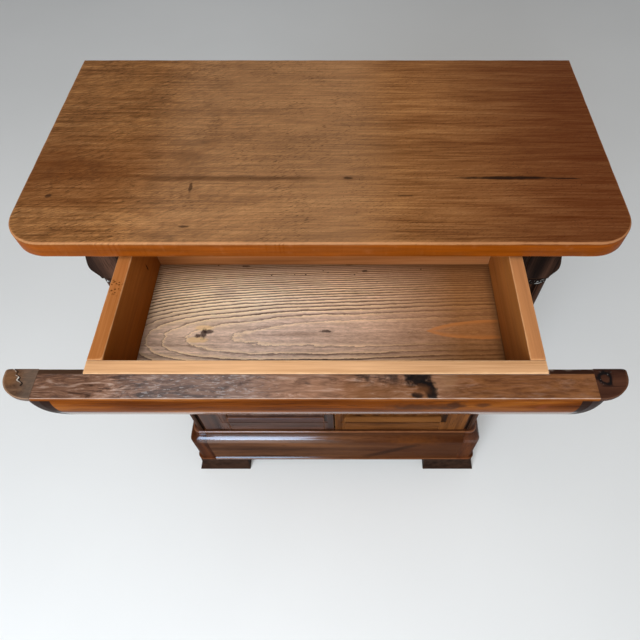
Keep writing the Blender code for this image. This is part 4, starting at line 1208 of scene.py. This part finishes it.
# The third value of each door is the tone of the painted highlight on its lower moulding.
door_wood = {
    "left": door_woods("left", 0.1, (0.06, 0.035, 0.031), MEETING_MOULD_WIDTH),
    "right": door_woods("right", 0.01, (0.195, 0.075, 0.02), MOULD_WIDTH),
}
post_wood = walnut("post", "Z", marks=post_marks)
plinth_wood = walnut("plinth", marks=plinth_marks, polish=plinth_polish)
corner_wood = walnut("corner", "Z", polish=corner_polish)
top_wood = walnut(
    "top", gloss=0.42, spec=0.03, streak=0.45, fibre=0.75, pore=0.5, pore_size=(240, 900), wear=0.5,
    marks=top_marks,
)
bare_wood = walnut("bare", gloss=0.6, spec=0.05, swirl=2.6, marks=facing_marks, wear=0.7)
veneer_wood = walnut("veneer", gloss=0.35, spec=0.004, marks=veneer_marks, polish=veneer_polish)
block_woods = {
    "left": walnut("left_block", gloss=0.55, spec=0.05, swirl=2.0, marks=left_block_marks),
    "right": walnut("right_block", spec=0.05, swirl=2.0, marks=right_block_marks),
}
front_wood = pale_wood("honey", marks=inner_front_marks)
side_wood = pale_wood("orange", "Y", side_marks, 0.02)
back_wood = pale_wood("orange")
foot_wood = walnut("foot")
grime_and_shade_wood = walnut("grime_and_shade", "Z", 0.55, 0.02, streak=1.3)
deck_wood = walnut("deck", gloss=0.55, spec=0.02, marks=deck_marks)
iron = metal("old_iron", (0.055, 0.05, 0.047), (0.2, 0.185, 0.17), (0.075, 0.038, 0.02), 0.45)
brass = metal("old_brass", (0.3, 0.19, 0.065), (0.66, 0.47, 0.19), (0.13, 0.085, 0.035), 0.32)

slab("top_board", top_wood, TOP_RADIUS, TOP_UNDER_ROUND, TOP_ROUND, TOP_STEP)
deck = slab("drawer_deck", deck_wood, CORNER_RADIUS, BOARD_ROUND, BOARD_ROUND, BOARD_STEP)
bolt_low, bolt_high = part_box("left_door_bolt")
bolt_axis = ((bolt_low.x + bolt_high.x) / 2, bolt_low.y + BOLT_RADIUS, DECK_Z)
pierce(deck, bolt_axis, BOLT_HOLE_RADIUS, "Z", BOLT_HOLE_REACH)
build_facing(bare_wood, veneer_wood, block_woods)
# The friezes' ends get the nearly black wood as painted shade.
build_friezes(polished["Y"], grime_and_shade_wood)
build_posts(post_wood)
build_plinth(plinth_wood, polished["Y"], corner_wood)
board("drawer_inner_front", front_wood, DRAWER_ROUND)
board("drawer_back", back_wood, DRAWER_ROUND)
board("drawer_bottom", drawer_bottom_wood(), BOTTOM_ROUND)
for _, word in SIDES:
    board("drawer_side_" + word, side_wood, DRAWER_ROUND)
    board("drawer_guide_" + word, grime_and_shade_wood)
    board("rear_post_" + word, polished["Z"], POST_ROUND)
    board("side_panel_" + word, polished["Z"])
    board("shelf_cleat_" + word, inner_wood["Y"])
    build_door(word, *door_wood[word])
    for end in ("front", "rear"):
        dress("foot_" + end + "_" + word, foot_wood, FOOT_ROUND)
for node in ("back_frieze_rail", "shelf", "plinth_back"):
    board(node, inner_wood["X"])
board("back_panel", inner_wood["Z"])
dress("cabinet_bottom", inner_wood["X"], DRAWER_ROUND)
for node in sorted(BODY_OF):
    if SLOT_OF[node] == "iron":
        dress(node, iron, IRON_ROUND)
dress("escutcheon", brass, BRASS_ROUND)

# ------------------------------------------- floor, light and camera

FLOOR_HALF = 9
WORLD_COLOUR = (0.96, 0.98, 1.0, 1.0)
WORLD_STRENGTH = 0.3
CAMERA_LENS = 30.09
CAMERA_SENSOR = 36.0
CAMERA_SHIFT = -0.0474
CAMERA_PLACE = (0.0387, -0.5453, 1.4902)
CAMERA_TILT = math.radians(33.33)

floor_mesh = bpy.data.meshes.new("floor")
floor_corners = [(FLOOR_HALF * x, FLOOR_HALF * y, 0) for x, y in ((-1, -1), (1, -1), (1, 1), (-1, 1))]
floor_mesh.from_pydata(floor_corners, [], [(0, 1, 2, 3)])
floor_mesh.materials.append(floor_material())
floor = add_object("floor", floor_mesh)


def area_light(name, place, aim, size, watts, colour, mirrored=True, lights=True):
    light = bpy.data.lights.new(name, "AREA")
    light.shape = "RECTANGLE"
    light.size, light.size_y = size
    light.energy = watts
    light.color = colour
    obj = add_object(name, light)
    obj.visible_glossy = mirrored
    obj.visible_diffuse = lights
    obj.location = place
    obj.rotation_euler = (Vector(aim) - Vector(place)).to_track_quat("-Z", "Y").to_euler()
    return obj


# The window lights the object, and the bluer sky behind it is what polish mirrors
AIM = (-0.1, -0.1, 0.6)
area_light("window", (-0.95, -2.6, 1.5), AIM, (1.4, 2.2), 78, (0.8, 0.9, 1.0), mirrored=False)
area_light("sky", (-0.95, -2.62, 1.5), AIM, (1.4, 2.2), 86, (0.52, 0.72, 1.0), lights=False)
area_light("low_window", (-0.55, -2.6, 0.42), (-0.1, -0.1, 0.3), (0.75, 0.7), 13, (0.52, 0.74, 1.0))
area_light("ceiling", (-0.3, -1.5, 3.0), (0.0, -0.1, 0.7), (2.4, 2.0), 58, (1.0, 0.95, 0.87), mirrored=False)
SCENE.world = bpy.data.worlds.new("room")
SCENE.world.use_nodes = True
background = SCENE.world.node_tree.nodes["Background"].inputs
background["Color"].default_value = WORLD_COLOUR
background["Strength"].default_value = WORLD_STRENGTH
bpy.context.scene.view_settings.view_transform = "Standard"

camera_data = bpy.data.cameras.new("camera")
camera_data.lens = CAMERA_LENS
camera_data.sensor_width = CAMERA_SENSOR
camera_data.shift_x = CAMERA_SHIFT
camera = add_object("camera", camera_data)
camera.location = CAMERA_PLACE
camera.rotation_euler = (CAMERA_TILT, 0.0, 0.0)
bpy.context.scene.camera = camera
